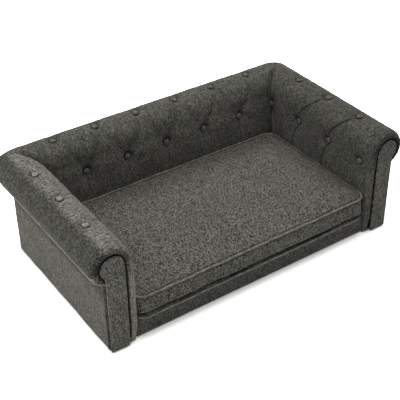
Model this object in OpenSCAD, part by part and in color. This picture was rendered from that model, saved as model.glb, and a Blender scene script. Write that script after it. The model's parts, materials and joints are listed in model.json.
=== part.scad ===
// Dog sofa bed: a low settee with rolled, deep-buttoned arms and back and a loose boxed cushion.
// Origin on the floor under the middle of the whole; +X to the sitter's right, +Y to the back, +Z up.

/* [Overall] */
// Width over the padded rolls of the two arms
overall_w = 1000; // [900:5:1150]
// Depth from the front panels to the back of the rear roll
overall_d = 571; // [520:1:660]
// Height from the floor to the crown of the rolls
overall_h = 324; // [300:1:380]

/* [Rolls and pads] */
// Outside radius of the padded roll
roll_r = 57.5; // [54:0.5:62]
// Distance of the roll's axis inwards from the outer wall
roll_inset = 20; // [17:0.5:23]
// Thickness of an arm, outer wall to padded face
arm_t = 79; // [77.5:0.5:88]
// Thickness of the back, outer wall to padded face
back_t = 87; // [80:0.5:95]
// Radius to which the pads round over at the front
pad_round = 14; // [8:1:18]
// Reach of the pads forwards round the heads of the front panels
pad_lip = 8; // [0:1:9]
// Radius to which the outer corners of the roll are rounded in plan
corner_round = 36; // [20:1:45]

/* [Frame] */
// Thickness of the frame inside an arm or the back
core_t = 55; // [50:0.5:58]
// Radius of the frame's rounded top rails and of the front panels' heads
core_r = 34.5; // [32:0.5:36]
// Height of the flat underside of a top rail below the roll's axis
core_drop = 20; // [16:1:24]
// Thickness of the tufting boards
board_t = 4; // [3:0.5:6]
// Thickness of the front facings
facing_t = 12; // [9:1:15]
// Thickness of the outer panels
skin_t = 3; // [2:0.5:4]
// Outside radius of the rear corners of the outer panels
wall_round = 20; // [14:1:24]
// Thickness of an upright stile along the arm or back
stile_w = 28; // [20:1:34]
// Thickness of an upright stile across the arm or back
stile_d = 32; // [24:1:36]

/* [Base] */
// Height of the deck's top face
deck_z = 60; // [52:1:70]
// Thickness of the deck
deck_t = 6; // [4:0.5:9]
// Thickness of the base rails
rail_t = 18; // [15:0.5:22]
// Thickness of the padded front rail cover
rail_cover_t = 14.7; // [10:0.1:20]
// Distance of the front rail cover behind the front of the panels
rail_cover_back = 13; // [12:0.5:16]
// Radius of the front rail cover's top front edge
rail_cover_round = 8; // [4:1:10]
// Height of a glide
glide_h = 5; // [4:0.5:8]
// Radius of a glide
glide_r = 9; // [6:0.5:9]
// Radius of the spigot that holds a glide
glide_spigot_r = 3.5; // [2.5:0.5:4]
// Length of the spigot that holds a glide
glide_spigot_l = 16; // [10:1:24]
// Thickness of the dust cover
dust_t = 1; // [0.8:0.1:2]
// Gap between the floor and the lower edges of the panels
hem_gap = 2; // [1:0.5:3]
// Width of a deck slat
slat_w = 60; // [40:1:80]
// Thickness of a deck slat
slat_t = 12; // [9:0.5:15]
// Side of the cleats under the slats
cleat_side = 12; // [9:0.5:15]
// Legs of the corner blocks
block_leg = 45; // [30:1:60]

/* [Front panels] */
// Thickness of a front panel
panel_t = 12; // [9:0.5:12]
// Radius of the soft front edge of a front panel
panel_edge = 3; // [2:0.5:4]
// Radius of the studs behind a front panel
stud_r = 4; // [3:0.5:5]
// Length of a stud
stud_l = 16; // [12:1:18]

/* [Tufting] */
// Intervals between the lower buttons along the back
back_intervals = 6; // [5:1:7]
// Intervals between the lower buttons along an arm
arm_intervals = 3; // [2:1:4]
// Distance of the foremost arm button behind the front
button_margin = 55.5; // [50:0.5:70]
// Height of the lower buttons as a share of the face above the deck
button_share = 0.8; // [0.7:0.01:0.85]
// Depth to which a lower button is drawn in
tuft_sink = 12; // [8:0.5:13]
// Depth to which a crown button is drawn in
crown_sink = 8; // [5:0.5:10]
// Spread of the dimple round a button
tuft_spread = 25; // [20:1:28]
// Depth of the folds between the buttons
fold_sink = 3; // [0:0.5:4]
// Spread of a fold to each side
fold_spread = 11; // [8:1:14]
// Depth of the crease where an arm meets the back
crease_sink = 11.5; // [8:0.5:12]
// Distance from the crease at which a pad starts to turn in
crease_round = 40; // [30:1:48]
// Depth to which the crease is drawn in behind a corner button
corner_sink = 14.5; // [13:0.5:16]
// Depth of a corner button's seat behind both faces
corner_seat = 4; // [2:0.5:4]
// Radius of a covered button
button_r = 11; // [9:0.5:12]
// Height of a button's dome
button_dome = 5; // [3:0.5:7]
// Height of the cone at the back of a button
button_cone = 2.6; // [2:0.1:2.8]
// Radius of a button tie
tie_r = 1; // [0.8:0.1:1.3]
// Radius of a washer behind a tufting board
tie_washer_r = 8; // [6:0.5:10]
// Thickness of a washer behind a tufting board
tie_washer_t = 1.2; // [0.8:0.1:2]
// Radius of the knot at the end of a tie
knot_r = 3; // [2.4:0.2:4]

/* [Cushion] */
// Gap between the cushion and the pads
cushion_gap = 1; // [0.6:0.1:3]
// Height of the lower welt's centre above the deck
low_welt_rise = 6.5; // [5:0.5:8]
// Height of the upper welt's centre above the lower one's
boxing_h = 67; // [55:1:80]
// Rise of the crowned top above the upper welt
crown_h = 15; // [8:1:24]
// Distance from the edge at which the crown has reached its full height
crown_reach = 150; // [110:5:170]
// Depth to which the boxing draws in between the welts
boxing_waist = 3; // [1:0.5:4]
// Radius of a welt
welt_r = 4; // [3:0.25:5]
// Radius of the cushion's corners in plan
cushion_round = 34; // [24:1:48]
// Thickness of cover and wadding round the foam
cover_t = 14; // [13:1:20]

/* [Zip] */
// Width of the zip tape
tape_w = 26; // [22:1:32]
// Thickness of the zip tape
tape_t = 0.8; // [0.5:0.1:1.2]
// Width of the closed teeth
teeth_w = 6; // [5:0.5:8]
// Thickness of the teeth
teeth_t = 2; // [1.5:0.1:2.4]
// Length of the slider along the zip
slider_l = 14; // [10:0.5:18]
// Width of the slider across the zip
slider_w = 11; // [10:0.5:14]
// Wall of the slider over the teeth
slider_wall = 1.2; // [1:0.1:1.5]
// Length of the pull
pull_l = 24; // [16:1:32]
// Thickness of the pull
pull_t = 1.2; // [1:0.1:1.6]

/* [Fasteners] */
// Radius of a frame bolt's shank
bolt_r = 3; // [2.5:0.5:4]
// Radius of a bolt head
bolt_head_r = 5.5; // [5:0.5:7]
// Height of a bolt head
bolt_head_h = 4; // [3:0.5:5]
// Radius of a bolt washer
washer_r = 8.5; // [8:0.5:9]
// Thickness of a bolt washer
washer_t = 1.5; // [1:0.1:2]
// Outside radius of an insert nut
insert_r = 5; // [4.5:0.5:6]
// Length of an insert nut
insert_l = 14; // [10:1:18]
// Height of the bolts above the floor
bolt_z = 18; // [16:1:20]

/* [Hidden] */
$fn = 64;
// Clearance between pieces that seat on one another
seat_gap = 0.3;
// Radial clearance of a bolt or tie in its hole
hole_gap = 0.5;
// Radial clearance of a stud or bolt in the piece that grips it
grip_gap = 0.05;
// Overrun of every cut
over = 1;

wall_x = overall_w / 2 + roll_inset - roll_r;
wall_y = overall_d / 2 + roll_inset - roll_r;
roll_x = wall_x - roll_inset;
roll_y = wall_y - roll_inset;
roll_z = overall_h - roll_r;
front_y = -overall_d / 2;
pad_front_y = front_y + panel_t;
lip_y = pad_front_y - pad_lip;
face_x = wall_x - arm_t;
face_y = wall_y - back_t;
core_x = wall_x - core_t;
core_y = wall_y - core_t;
inner_x = wall_x - skin_t;
inner_y = wall_y - skin_t;
core_low_z = roll_z - core_drop;
rail_low_z = glide_h;
rail_high_z = deck_z - deck_t;
rail_y = front_y + rail_cover_back + rail_cover_t + seat_gap;
facing_back_y = pad_front_y + facing_t;
side_rail_x = core_x - rail_t;
button_z = deck_z + button_share * (roll_z - deck_z);
crease_x = face_x + crease_sink;
crease_y = face_y + crease_sink;
corner_x = face_x + corner_seat;
corner_y = face_y + corner_seat;
first_button_y = front_y + button_margin;
arm_pitch = (crease_y - first_button_y) / arm_intervals;
back_pitch = 2 * crease_x / back_intervals;
skin_top_z = roll_z - sqrt(roll_r * roll_r - roll_inset * roll_inset) - seat_gap;

// Places of the lower and crown buttons along an arm and along the back
arm_low = [for (i = [0 : arm_intervals - 1]) first_button_y + i * arm_pitch];
arm_crown = [for (i = [0 : arm_intervals - 1]) first_button_y + (i + 0.5) * arm_pitch];
back_low = [for (i = [1 : back_intervals - 1]) -crease_x + i * back_pitch];
back_crown = [for (i = [0 : back_intervals - 1]) -crease_x + (i + 0.5) * back_pitch];
// Places of the stiles, a quarter of the way from a lower button to the next crown button
arm_stiles = [first_button_y + 1.75 * arm_pitch];
back_stiles = [for (s = [-2.25, -0.75, 0.75, 2.25]) s * back_pitch];
// Shares of the length of a base rail at which the bolts sit
bolt_shares = [0.25, 0.75];
// Shares of the half width of the base at which the slats lie
slat_shares = [-0.68, -0.34, 0, 0.34, 0.68];

fabric = [0.30, 0.30, 0.28];
fabric_light = [0.38, 0.38, 0.35];
timber = [0.76, 0.62, 0.42];
ply = [0.82, 0.70, 0.50];
steel = [0.70, 0.71, 0.73];
dark = [0.12, 0.12, 0.12];

// Section of a pad: place c is a depth below the roll's axis when negative, else an angle round the roll.
// face_t is the thickness at the padded face, r the roll's radius there and d the depth drawn in.
// Gives [distance inwards from the outer wall, height].
function ease(q) = q * q * (3 - 2 * q);
function clamp(q) = min(1, max(0, q));
function face_lead(c, face_t) =
  roll_inset + roll_r + (face_t - roll_inset - roll_r) * ease(clamp(-c / (roll_z - button_z)));
function section_at(c, face_t, r, d) =
  c <= 0
    ? [face_lead(c, face_t) - (roll_r - r) - d, roll_z + c]
    : [roll_inset + (r - d) * cos(c), roll_z + (r - d) * sin(c)];
// Distance over the surface from the level of the roll's axis
function over_surface(c) = c <= 0 ? c : c * PI / 180 * roll_r;
// Angle at which a circle of radius r round the roll's axis reaches the outer wall again
function wall_angle(r, gap) = 180 + acos((roll_inset + gap) / r);

// Places along the section: up the face, then round the roll to the outer wall
face_shares = concat(
  [for (s = [0, 0.31, 0.6, 0.82, 0.92]) s * button_share],
  [for (s = [0, 0.33, 0.66, 1]) button_share + s * (1 - button_share)]
);
crown_steps = 6;
under_steps = 7;
function outer_places(low_z, r) = concat(
  [for (q = face_shares) -(1 - q) * (roll_z - low_z)],
  [for (k = [1 : crown_steps]) 90 * k / crown_steps],
  [for (k = [1 : under_steps]) 90 + (wall_angle(r, seat_gap) - 90) * k / under_steps]
);
// The same for the side that lies on the frame, kept just clear of the round top rail
core_steps = 8;
core_step = wall_angle(core_r, 0) / core_steps;
seat_r = (core_r + seat_gap) / cos(core_step / 2);
function inner_chain(low_z) = concat(
  [[core_t + seat_gap, low_z], [core_t + seat_gap, roll_z - core_step / 90 * core_r]],
  [for (k = [0 : core_steps])
    let (c = wall_angle(seat_r, seat_gap) * k / core_steps)
    [roll_inset + seat_r * cos(c), roll_z + seat_r * sin(c)]]
);
// For each point of the inner chain, the number of the outer place across from it
function steps_round(c) =
  c <= 90 ? c / 90 * crown_steps : crown_steps + (c - 90) / (wall_angle(roll_r, seat_gap) - 90) * under_steps;
roll_start = len(face_shares) - 1;
end_marks = concat(
  [0, roll_start - 1],
  [for (k = [0 : core_steps]) roll_start + round(steps_round(wall_angle(seat_r, seat_gap) * k / core_steps))]
);

// Depth to which buttons and folds draw the surface in, at length a and surface height v.
// A dimple is flat behind the middle of its button.
tuft_flat = button_r / 2;
function dimple(a, v, spots) =
  max([for (s = spots) s[2] * exp(-pow(max(0, norm([a - s[0], v - s[1]]) - tuft_flat) / tuft_spread, 2))]);
function fold_gap(a, v, f) =
  let (along = [f[2] - f[0], f[3] - f[1]], rel = [a - f[0], v - f[1]],
    t = clamp(rel * along / (along * along)))
  norm(rel - t * along);
function fold(a, v, folds) = max([for (f = folds) fold_sink * exp(-pow(fold_gap(a, v, f) / fold_spread, 2))]);
low_v = button_z - roll_z;
crown_v = over_surface(90);
function spots(lows, crowns) =
  concat([for (a = lows) [a, low_v, tuft_sink]], [for (a = crowns) [a, crown_v, crown_sink]]);
// Each crown button has a fold to the lower button behind it, and each lower one a fold down to the deck
arm_spots = spots(arm_low, arm_crown);
arm_folds = concat(
  [for (a = arm_crown) [a, crown_v, a + arm_pitch / 2, low_v]],
  [for (a = arm_low) [a, low_v, a, low_v - button_z]]
);
back_spots = spots(back_low, back_crown);
back_folds = concat(
  [for (a = back_crown) [a, crown_v, a + back_pitch / 2, low_v]],
  [for (a = back_low) [a, low_v, a, low_v - button_z]]
);

// The crease at the inner corner is deepest on the face and runs out past the crown
crease_fade = 150;
function crease(v) = crease_sink * ease(clamp(1 - v / crease_fade));
corner_spread = 34;
function crease_at(gap, v) = max(
  crease(v) * pow(clamp(1 - gap / crease_round), 2),
  corner_sink * exp(-(gap * gap + pow(v - low_v, 2)) / pow(corner_spread, 2)));
// Draw of the rounded outer corner towards the middle, from the crown outwards
corner_pull = corner_round * (1 - sqrt(0.5));
function pull(c) = corner_pull * ease(clamp((c - 50) / 90));
// Share of the run into a corner at which the roll starts to round off
pull_share = 0.7;
function pull_at(u) = pow(clamp((u - pull_share) / (1 - pull_share)), 2);

// One point of a pad's outside: along is the length coordinate, rib where the pad ends at the corner
function drawn_in(along, v, gap, spot_list, fold_list) =
  max(dimple(along, v, spot_list), fold(along, v, fold_list), crease_at(gap, v));

// Where the two pads meet, as the distances inwards from the side wall and from the rear wall
mitre_gap = 0.3;
function rib_inwards(c, face_t) = section_at(c, face_t, roll_r, crease_at(0, over_surface(c)))[0] + pull(c);

// Straight stations along an arm and the number of steps from the last one into the corner
arm_steps = 8;
back_steps = 6;
corner_steps = 6;
round_steps = 3;
arm_rows = [for (k = [-1 : arm_intervals * arm_steps - 2]) first_button_y + k * arm_pitch / arm_steps];
back_rows = [for (k = [-(back_intervals / 2 * back_steps - 2) : back_intervals / 2 * back_steps - 2])
  -k * back_pitch / back_steps];

// Right arm pad: rounded front, foot of the strip beside the front panel, straight run, corner
function arm_row(y, low_z, r) = [for (c = outer_places(low_z, r))
  let (v = over_surface(c), p = section_at(c, arm_t, r,
    r < roll_r ? 0 : drawn_in(y, v, rib_y(c) - y, arm_spots, arm_folds)))
  [wall_x - p[0], y, p[1]]];
function rib_y(c) = wall_y - rib_inwards(c, back_t) - mitre_gap / 2;
function rib_x(c) = wall_x - rib_inwards(c, arm_t) - mitre_gap / 2;
function arm_corner_row(u) = [for (c = outer_places(deck_z, roll_r))
  let (y0 = arm_rows[len(arm_rows) - 1], y = y0 + u * (rib_y(c) - y0), v = over_surface(c),
    p = section_at(c, arm_t, roll_r, drawn_in(y, v, rib_y(c) - y, arm_spots, arm_folds)))
  [wall_x - p[0] - pull(c) * pull_at(u), y, p[1]]];
strip_back_y = rail_y - seat_gap;
function arm_rows_all() = concat(
  [for (k = [0 : round_steps])
    let (q = 90 * k / round_steps)
    arm_row(lip_y + pad_round * (1 - cos(q)), hem_gap, roll_r - pad_round * (1 - sin(q)))],
  [arm_row(strip_back_y, hem_gap, roll_r), arm_row(strip_back_y + seat_gap, deck_z, roll_r)],
  [for (y = arm_rows) arm_row(y, deck_z, roll_r)],
  [for (k = [1 : corner_steps]) arm_corner_row(k / corner_steps)]
);
arm_marks = [0, round_steps + 1, round_steps + 2, round_steps + 2 + len(arm_rows) + corner_steps];
function arm_inner_all() = [
  for (s = [[lip_y, hem_gap], [strip_back_y, hem_gap], [strip_back_y + seat_gap, deck_z]])
    [for (p = inner_chain(s[1])) [wall_x - p[0], s[0], p[1]]],
  [for (p = inner_chain(deck_z)) [wall_x - p[0], wall_y - p[0] - mitre_gap / 2, p[1]]]
];

// Back pad, from the right corner to the left one
function back_point(c, x, gap, pulled) =
  let (v = over_surface(c), p = section_at(c, back_t, roll_r, drawn_in(x, v, gap, back_spots, back_folds)))
  [x, wall_y - p[0] - pulled, p[1]];
function back_corner_row(u, side) = [for (c = outer_places(deck_z, roll_r))
  let (x0 = back_rows[0], x = x0 + u * (rib_x(c) - x0))
  back_point(c, side * x, rib_x(c) - x, pull(c) * pull_at(u))];
function back_rows_all() = concat(
  [for (k = [corner_steps : -1 : 1]) back_corner_row(k / corner_steps, 1)],
  [for (x = back_rows) [for (c = outer_places(deck_z, roll_r)) back_point(c, x, rib_x(c) - abs(x), 0)]],
  [for (k = [1 : corner_steps]) back_corner_row(k / corner_steps, -1)]
);
back_marks = [0, 2 * corner_steps + len(back_rows) - 1];
function back_inner_all() = [for (side = [1, -1])
  [for (p = inner_chain(deck_z)) [side * (wall_x - p[0] - mitre_gap / 2), wall_y - p[0], p[1]]]];

// Triangles between a long chain of point numbers a and a shorter one b; marks[k] is b[k]'s place in a
function near(i, marks) = max([for (k = [0 : len(marks) - 1]) if (marks[k] <= i) k]);
function strip(a, b, marks) = [
  for (i = [0 : len(a) - 2]) [a[i], a[i + 1], b[near(i, marks)]],
  for (i = [1 : len(a) - 1]) if (near(i, marks) > near(i - 1, marks)) [a[i], b[near(i, marks)], b[near(i - 1, marks)]]
];
function turned(faces) = [for (f = faces) [f[2], f[1], f[0]]];
function quad(a, b, c, d) = [[a, b, c], [a, c, d]];

// Closed solid between rows of outer points and fewer rows of inner ones
module pad_solid(outer, inner, marks) {
  rows = len(outer);
  cols = len(outer[0]);
  low = rows * cols;
  deep = len(inner[0]);
  outer_grid = [for (i = [0 : rows - 2], j = [0 : cols - 2])
    each quad(i * cols + j, (i + 1) * cols + j, (i + 1) * cols + j + 1, i * cols + j + 1)];
  inner_grid = [for (i = [0 : len(inner) - 2], k = [0 : deep - 2])
    each quad(low + i * deep + k, low + i * deep + k + 1, low + (i + 1) * deep + k + 1, low + (i + 1) * deep + k)];
  outer_row = function(i) [for (j = [0 : cols - 1]) i * cols + j];
  inner_row = function(i) [for (k = [0 : deep - 1]) low + i * deep + k];
  outer_edge = function(j) [for (i = [0 : rows - 1]) i * cols + j];
  inner_edge = function(k) [for (i = [0 : len(inner) - 1]) low + i * deep + k];
  polyhedron(
    points = concat([for (r = outer) each r], [for (r = inner) each r]),
    faces = concat(
      outer_grid,
      inner_grid,
      strip(outer_row(0), inner_row(0), end_marks),
      turned(strip(outer_row(rows - 1), inner_row(len(inner) - 1), end_marks)),
      turned(strip(outer_edge(0), inner_edge(0), marks)),
      strip(outer_edge(cols - 1), inner_edge(deep - 1), marks)
    )
  );
}

// Places of the buttons, each with its axis turned to local +Z, pointing out of the pad
module at_arm_low(side) {
  for (y = arm_low)
    translate([side * (face_x + tuft_sink), y, button_z]) rotate([0, -side * 90, 0]) children();
}
module at_back_low() {
  for (x = back_low)
    translate([x, face_y + tuft_sink, button_z]) rotate([90, 0, 0]) children();
}
module at_arm_crown(side) {
  for (y = arm_crown)
    translate([side * roll_x, y, overall_h - crown_sink]) children();
}
module at_back_crown() {
  for (x = back_crown)
    translate([x, roll_y, overall_h - crown_sink]) children();
}
module at_corner(side) {
  translate([side * corner_x, corner_y, button_z]) rotate([0, 0, side > 0 ? 45 : 135]) rotate([0, -90, 0])
    children();
}
// Distance from a corner button's seat, slantwise, to the corner post
corner_run = max(core_x - corner_x, core_y - corner_y) * sqrt(2);

tie_hole_r = tie_r + hole_gap;
module tie_hole(depth) {
  translate([0, 0, -depth]) cylinder(r = tie_hole_r, h = depth + over, $fn = 6);
}

module arm_pad(side) {
  difference() {
    mirror([side > 0 ? 0 : 1, 0, 0]) pad_solid(arm_rows_all(), arm_inner_all(), arm_marks);
    at_arm_low(side) tie_hole(arm_t - core_t);
    at_arm_crown(side) tie_hole(roll_r - core_r);
    at_corner(side) tie_hole(corner_run);
  }
}
module left_arm_pad() {
  color(fabric) arm_pad(-1);
}
module right_arm_pad() {
  color(fabric) arm_pad(1);
}
module back_pad() {
  color(fabric) difference() {
    pad_solid(back_rows_all(), back_inner_all(), back_marks);
    at_back_low() tie_hole(back_t - core_t);
    at_back_crown() tie_hole(roll_r - core_r);
    for (side = [-1, 1]) at_corner(side) tie_hole(corner_run);
  }
}

// A covered button: a shallow cone behind, a dome in front
module button() {
  dome_r = (button_r * button_r + button_dome * button_dome) / (2 * button_dome);
  translate([0, 0, seat_gap]) rotate_extrude() {
    polygon([[0, 0], [button_r, button_cone], [0, button_cone]]);
    intersection() {
      translate([0, button_cone + button_dome - dome_r]) circle(dome_r, $fn = 128);
      translate([0, button_cone]) square([button_r, button_dome]);
    }
  }
}
module arm_buttons(side) {
  at_arm_low(side) button();
  at_arm_crown(side) button();
}
module left_arm_buttons() {
  color(fabric_light) arm_buttons(-1);
}
module right_arm_buttons() {
  color(fabric_light) arm_buttons(1);
}
module back_buttons() {
  color(fabric_light) {
    at_back_low() button();
    at_back_crown() button();
  }
}
// The corner buttons have a nail for a shank, driven into the edge of the corner post
nail_hold = 14;
module corner_buttons() {
  nail_l = corner_run + nail_hold;
  color(fabric_light) for (side = [-1, 1]) at_corner(side) {
    button();
    translate([0, 0, seat_gap + button_cone / 2 - nail_l]) cylinder(r = tie_r, h = nail_l);
  }
}

// Length of a tie from the back of its button to the far side of what it passes
arm_tie_l = arm_t - tuft_sink - core_t + board_t;
back_tie_l = back_t - tuft_sink - core_t + board_t;
crown_tie_l = overall_h - crown_sink - core_low_z;
module tie(l) {
  reach = l + tie_washer_t + seat_gap;
  translate([0, 0, -reach]) cylinder(r = tie_r, h = reach + seat_gap);
  translate([0, 0, -reach - knot_r / 2]) intersection() {
    sphere(r = knot_r);
    translate([0, 0, knot_r / 2 - 2 * knot_r]) cylinder(r = knot_r + over, h = 2 * knot_r);
  }
}
module button_ties() {
  color(dark) {
    for (side = [-1, 1]) {
      at_arm_low(side) tie(arm_tie_l);
      at_arm_crown(side) tie(crown_tie_l);
    }
    at_back_low() tie(back_tie_l);
    at_back_crown() tie(crown_tie_l);
  }
}
module tie_washer(l) {
  translate([0, 0, -l - tie_washer_t]) difference() {
    cylinder(r = tie_washer_r, h = tie_washer_t);
    translate([0, 0, -over]) cylinder(r = tie_hole_r, h = tie_washer_t + 2 * over);
  }
}
module tie_washers() {
  color(steel) {
    for (side = [-1, 1]) {
      at_arm_low(side) tie_washer(arm_tie_l);
      at_arm_crown(side) tie_washer(crown_tie_l);
    }
    at_back_low() tie_washer(back_tie_l);
    at_back_crown() tie_washer(crown_tie_l);
  }
}
// Hole for a tie through the board or rail that it ends behind
module tie_bore(l) {
  translate([0, 0, -l - over]) cylinder(r = tie_hole_r, h = l + over);
}
module nail_bore() {
  translate([0, 0, -corner_run - nail_hold]) cylinder(r = tie_hole_r, h = corner_run + nail_hold);
}

// Outline of an arm's end in the plane across the arm, x inwards from the outer wall and y up
module scroll_outline(lead, low_z) {
  translate([lead, low_z]) square([core_t - lead, roll_z - low_z]);
  translate([roll_inset, roll_z]) circle(core_r);
}
// Stands a profile drawn as [distance inwards, height] across an arm and runs it back by l from y
module along_arm(side, y, l) {
  mirror([side > 0 ? 0 : 1, 0, 0]) translate([wall_x, y, 0]) rotate([90, 0, 180]) linear_extrude(l) children();
}
// The same across the back, run to both sides by l in all
module along_back(l) {
  translate([l / 2, wall_y, 0]) rotate([90, 0, -90]) linear_extrude(l) children();
}

module front_panel(side) {
  along_arm(side, front_y + panel_edge, panel_t - panel_edge) scroll_outline(0, hem_gap);
  along_arm(side, front_y, panel_edge) {
    translate([panel_edge, hem_gap + panel_edge])
      square([core_t - 2 * panel_edge, roll_z - hem_gap - panel_edge]);
    translate([roll_inset, roll_z]) circle(core_r - panel_edge);
  }
}
// Heights of the studs behind a front panel, as shares of the height of the roll's axis
stud_shares = [0.2, 0.55, 0.92];
module at_studs(side) {
  for (s = stud_shares)
    translate([side * (wall_x - core_t / 2), pad_front_y, s * roll_z]) rotate([90, 0, 0]) children();
}
stud_front = panel_t / 2;
module stud_bores(side) {
  at_studs(side) translate([0, 0, -facing_t - over])
    cylinder(r = stud_r + grip_gap, h = facing_t + over + stud_front + seat_gap);
}
module left_front_panel() {
  color(fabric) difference() {
    front_panel(-1);
    stud_bores(-1);
  }
}
module right_front_panel() {
  color(fabric) difference() {
    front_panel(1);
    stud_bores(1);
  }
}
module panel_studs() {
  color(timber) for (side = [-1, 1]) at_studs(side)
    translate([0, 0, stud_front - stud_l]) cylinder(r = stud_r, h = stud_l);
}

// Frame of an arm: front facing, bottom rail, stile, round top rail and tufting board
module arm_facing(side) {
  difference() {
    along_arm(side, pad_front_y, facing_t) scroll_outline(skin_t, rail_low_z);
    stud_bores(side);
  }
}
module left_arm_facing() {
  color(ply) arm_facing(-1);
}
module right_arm_facing() {
  color(ply) arm_facing(1);
}

side_run = core_y - facing_back_y;
module arm_bottom_rail(side) {
  difference() {
    along_arm(side, facing_back_y, side_run)
      translate([skin_t, rail_low_z]) square([core_t - skin_t - board_t, rail_high_z - rail_low_z]);
    side_bolt_bores(side);
    glide_bores();
  }
}
module left_arm_bottom_rail() {
  color(timber) arm_bottom_rail(-1);
}
module right_arm_bottom_rail() {
  color(timber) arm_bottom_rail(1);
}

module arm_stile(side) {
  for (y = arm_stiles) along_arm(side, y - stile_w / 2, stile_w)
    translate([core_t - board_t - stile_d, rail_high_z]) square([stile_d, core_low_z - rail_high_z]);
}
module left_arm_stile() {
  color(timber) arm_stile(-1);
}
module right_arm_stile() {
  color(timber) arm_stile(1);
}

module top_rail_outline() {
  intersection() {
    translate([roll_inset, roll_z]) circle(core_r);
    translate([roll_inset - core_r, core_low_z]) square([2 * core_r, core_r + core_drop]);
  }
}
// Ends of the top rails meet on the diagonal through the rear corner
function mitre_y(x) = roll_y + x - roll_x - mitre_gap / 2;
function mitre_x(y) = roll_x + y - roll_y - mitre_gap / 2;
module arm_top_rail(side) {
  near_x = roll_x - core_r - over;
  far_x = roll_x + core_r + over;
  difference() {
    intersection() {
      along_arm(side, facing_back_y, overall_d) top_rail_outline();
      mirror([side > 0 ? 0 : 1, 0, 0]) linear_extrude(overall_h) polygon([
        [near_x, front_y], [far_x, front_y], [far_x, mitre_y(far_x)], [near_x, mitre_y(near_x)]]);
    }
    at_arm_crown(side) tie_bore(crown_tie_l);
  }
}
module left_arm_top_rail() {
  color(timber) arm_top_rail(-1);
}
module right_arm_top_rail() {
  color(timber) arm_top_rail(1);
}

board_high_z = roll_z - sqrt(max(0, pow(core_r, 2) - pow(core_t - board_t - roll_inset, 2))) - seat_gap;
module arm_board(side) {
  difference() {
    along_arm(side, facing_back_y, side_run)
      translate([core_t - board_t, rail_low_z]) square([board_t, board_high_z - rail_low_z]);
    at_arm_low(side) tie_bore(arm_tie_l);
    at_corner(side) nail_bore();
    side_bolt_bores(side);
  }
}
module left_arm_board() {
  color(ply) arm_board(-1);
}
module right_arm_board() {
  color(ply) arm_board(1);
}

// Frame of the back: a post at each corner with its outer edge rounded, rails, stiles and tufting board
module rounded_corner(w, r) {
  square([w - r, w]);
  square([w, w - r]);
  translate([w - r, w - r]) circle(r);
}
// A post is set back above the outer panels, where the pads are drawn in round the corner
module corner_post(side) {
  post_w = inner_x - core_x;
  neck_w = wall_x - core_x - corner_pull - seat_gap;
  post_r = wall_round - skin_t;
  difference() {
    mirror([side > 0 ? 0 : 1, 0, 0]) translate([core_x, core_y, rail_low_z]) {
      linear_extrude(skin_top_z - rail_low_z) rounded_corner(post_w, post_r);
      linear_extrude(core_low_z - rail_low_z) rounded_corner(neck_w, post_r / 2);
    }
    at_corner(side) nail_bore();
    glide_bores();
  }
}
module left_corner_post() {
  color(timber) corner_post(-1);
}
module right_corner_post() {
  color(timber) corner_post(1);
}
module back_bottom_rail() {
  color(timber) difference() {
    along_back(2 * core_x)
      translate([skin_t, rail_low_z]) square([core_t - skin_t - board_t, rail_high_z - rail_low_z]);
    rear_bolt_bores();
  }
}
module back_frame_stiles() {
  color(timber) for (x = back_stiles) translate([x, 0, 0]) along_back(stile_w)
    translate([core_t - board_t - stile_d, rail_high_z]) square([stile_d, core_low_z - rail_high_z]);
}
module back_top_rail() {
  near_y = roll_y - core_r - over;
  far_y = roll_y + core_r + over;
  color(timber) difference() {
    intersection() {
      along_back(overall_w) top_rail_outline();
      linear_extrude(overall_h) polygon([
        [-mitre_x(near_y), near_y], [mitre_x(near_y), near_y], [mitre_x(far_y), far_y], [-mitre_x(far_y), far_y]]);
    }
    at_back_crown() tie_bore(crown_tie_l);
  }
}
module back_board() {
  color(ply) difference() {
    along_back(2 * core_x) translate([core_t - board_t, rail_low_z]) square([board_t, board_high_z - rail_low_z]);
    at_back_low() tie_bore(back_tie_l);
    for (side = [-1, 1]) at_corner(side) nail_bore();
    rear_bolt_bores();
  }
}

// Outer panels: flat at the sides, wrapped round the corners at the rear
skin_h = skin_top_z - hem_gap;
wall_turn_y = wall_y - wall_round;
module outer_panel(side) {
  along_arm(side, pad_front_y, wall_turn_y - pad_front_y) translate([0, hem_gap]) square([skin_t, skin_h]);
}
module left_outer_panel() {
  color(fabric) outer_panel(-1);
}
module right_outer_panel() {
  color(fabric) outer_panel(1);
}
module rear_outer_panel() {
  turn_x = wall_x - wall_round;
  color(fabric) translate([0, 0, hem_gap]) linear_extrude(skin_h) {
    translate([-turn_x, inner_y]) square([2 * turn_x, skin_t]);
    for (side = [-1, 1]) intersection() {
      translate([side * turn_x, wall_turn_y]) difference() {
        circle(wall_round);
        circle(wall_round - skin_t);
      }
      translate([side > 0 ? turn_x : -turn_x - wall_round, wall_turn_y]) square(wall_round);
    }
  }
}

// Base frame
side_rail_front_y = rail_y + rail_t;
rear_rail_y = core_y - rail_t;
rail_h = rail_high_z - rail_low_z;
// Places of the glides: under the arms at the front, under the corner posts and under the front rail
glide_places = [
  [roll_x, front_y + button_margin], [-roll_x, front_y + button_margin],
  [core_x + stile_d / 2 + board_t, core_y + stile_d / 2], [-core_x - stile_d / 2 - board_t, core_y + stile_d / 2],
  [0, rail_y + rail_t / 2]
];
module at_glides() {
  for (p = glide_places) translate([p[0], p[1], 0]) children();
}
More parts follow.
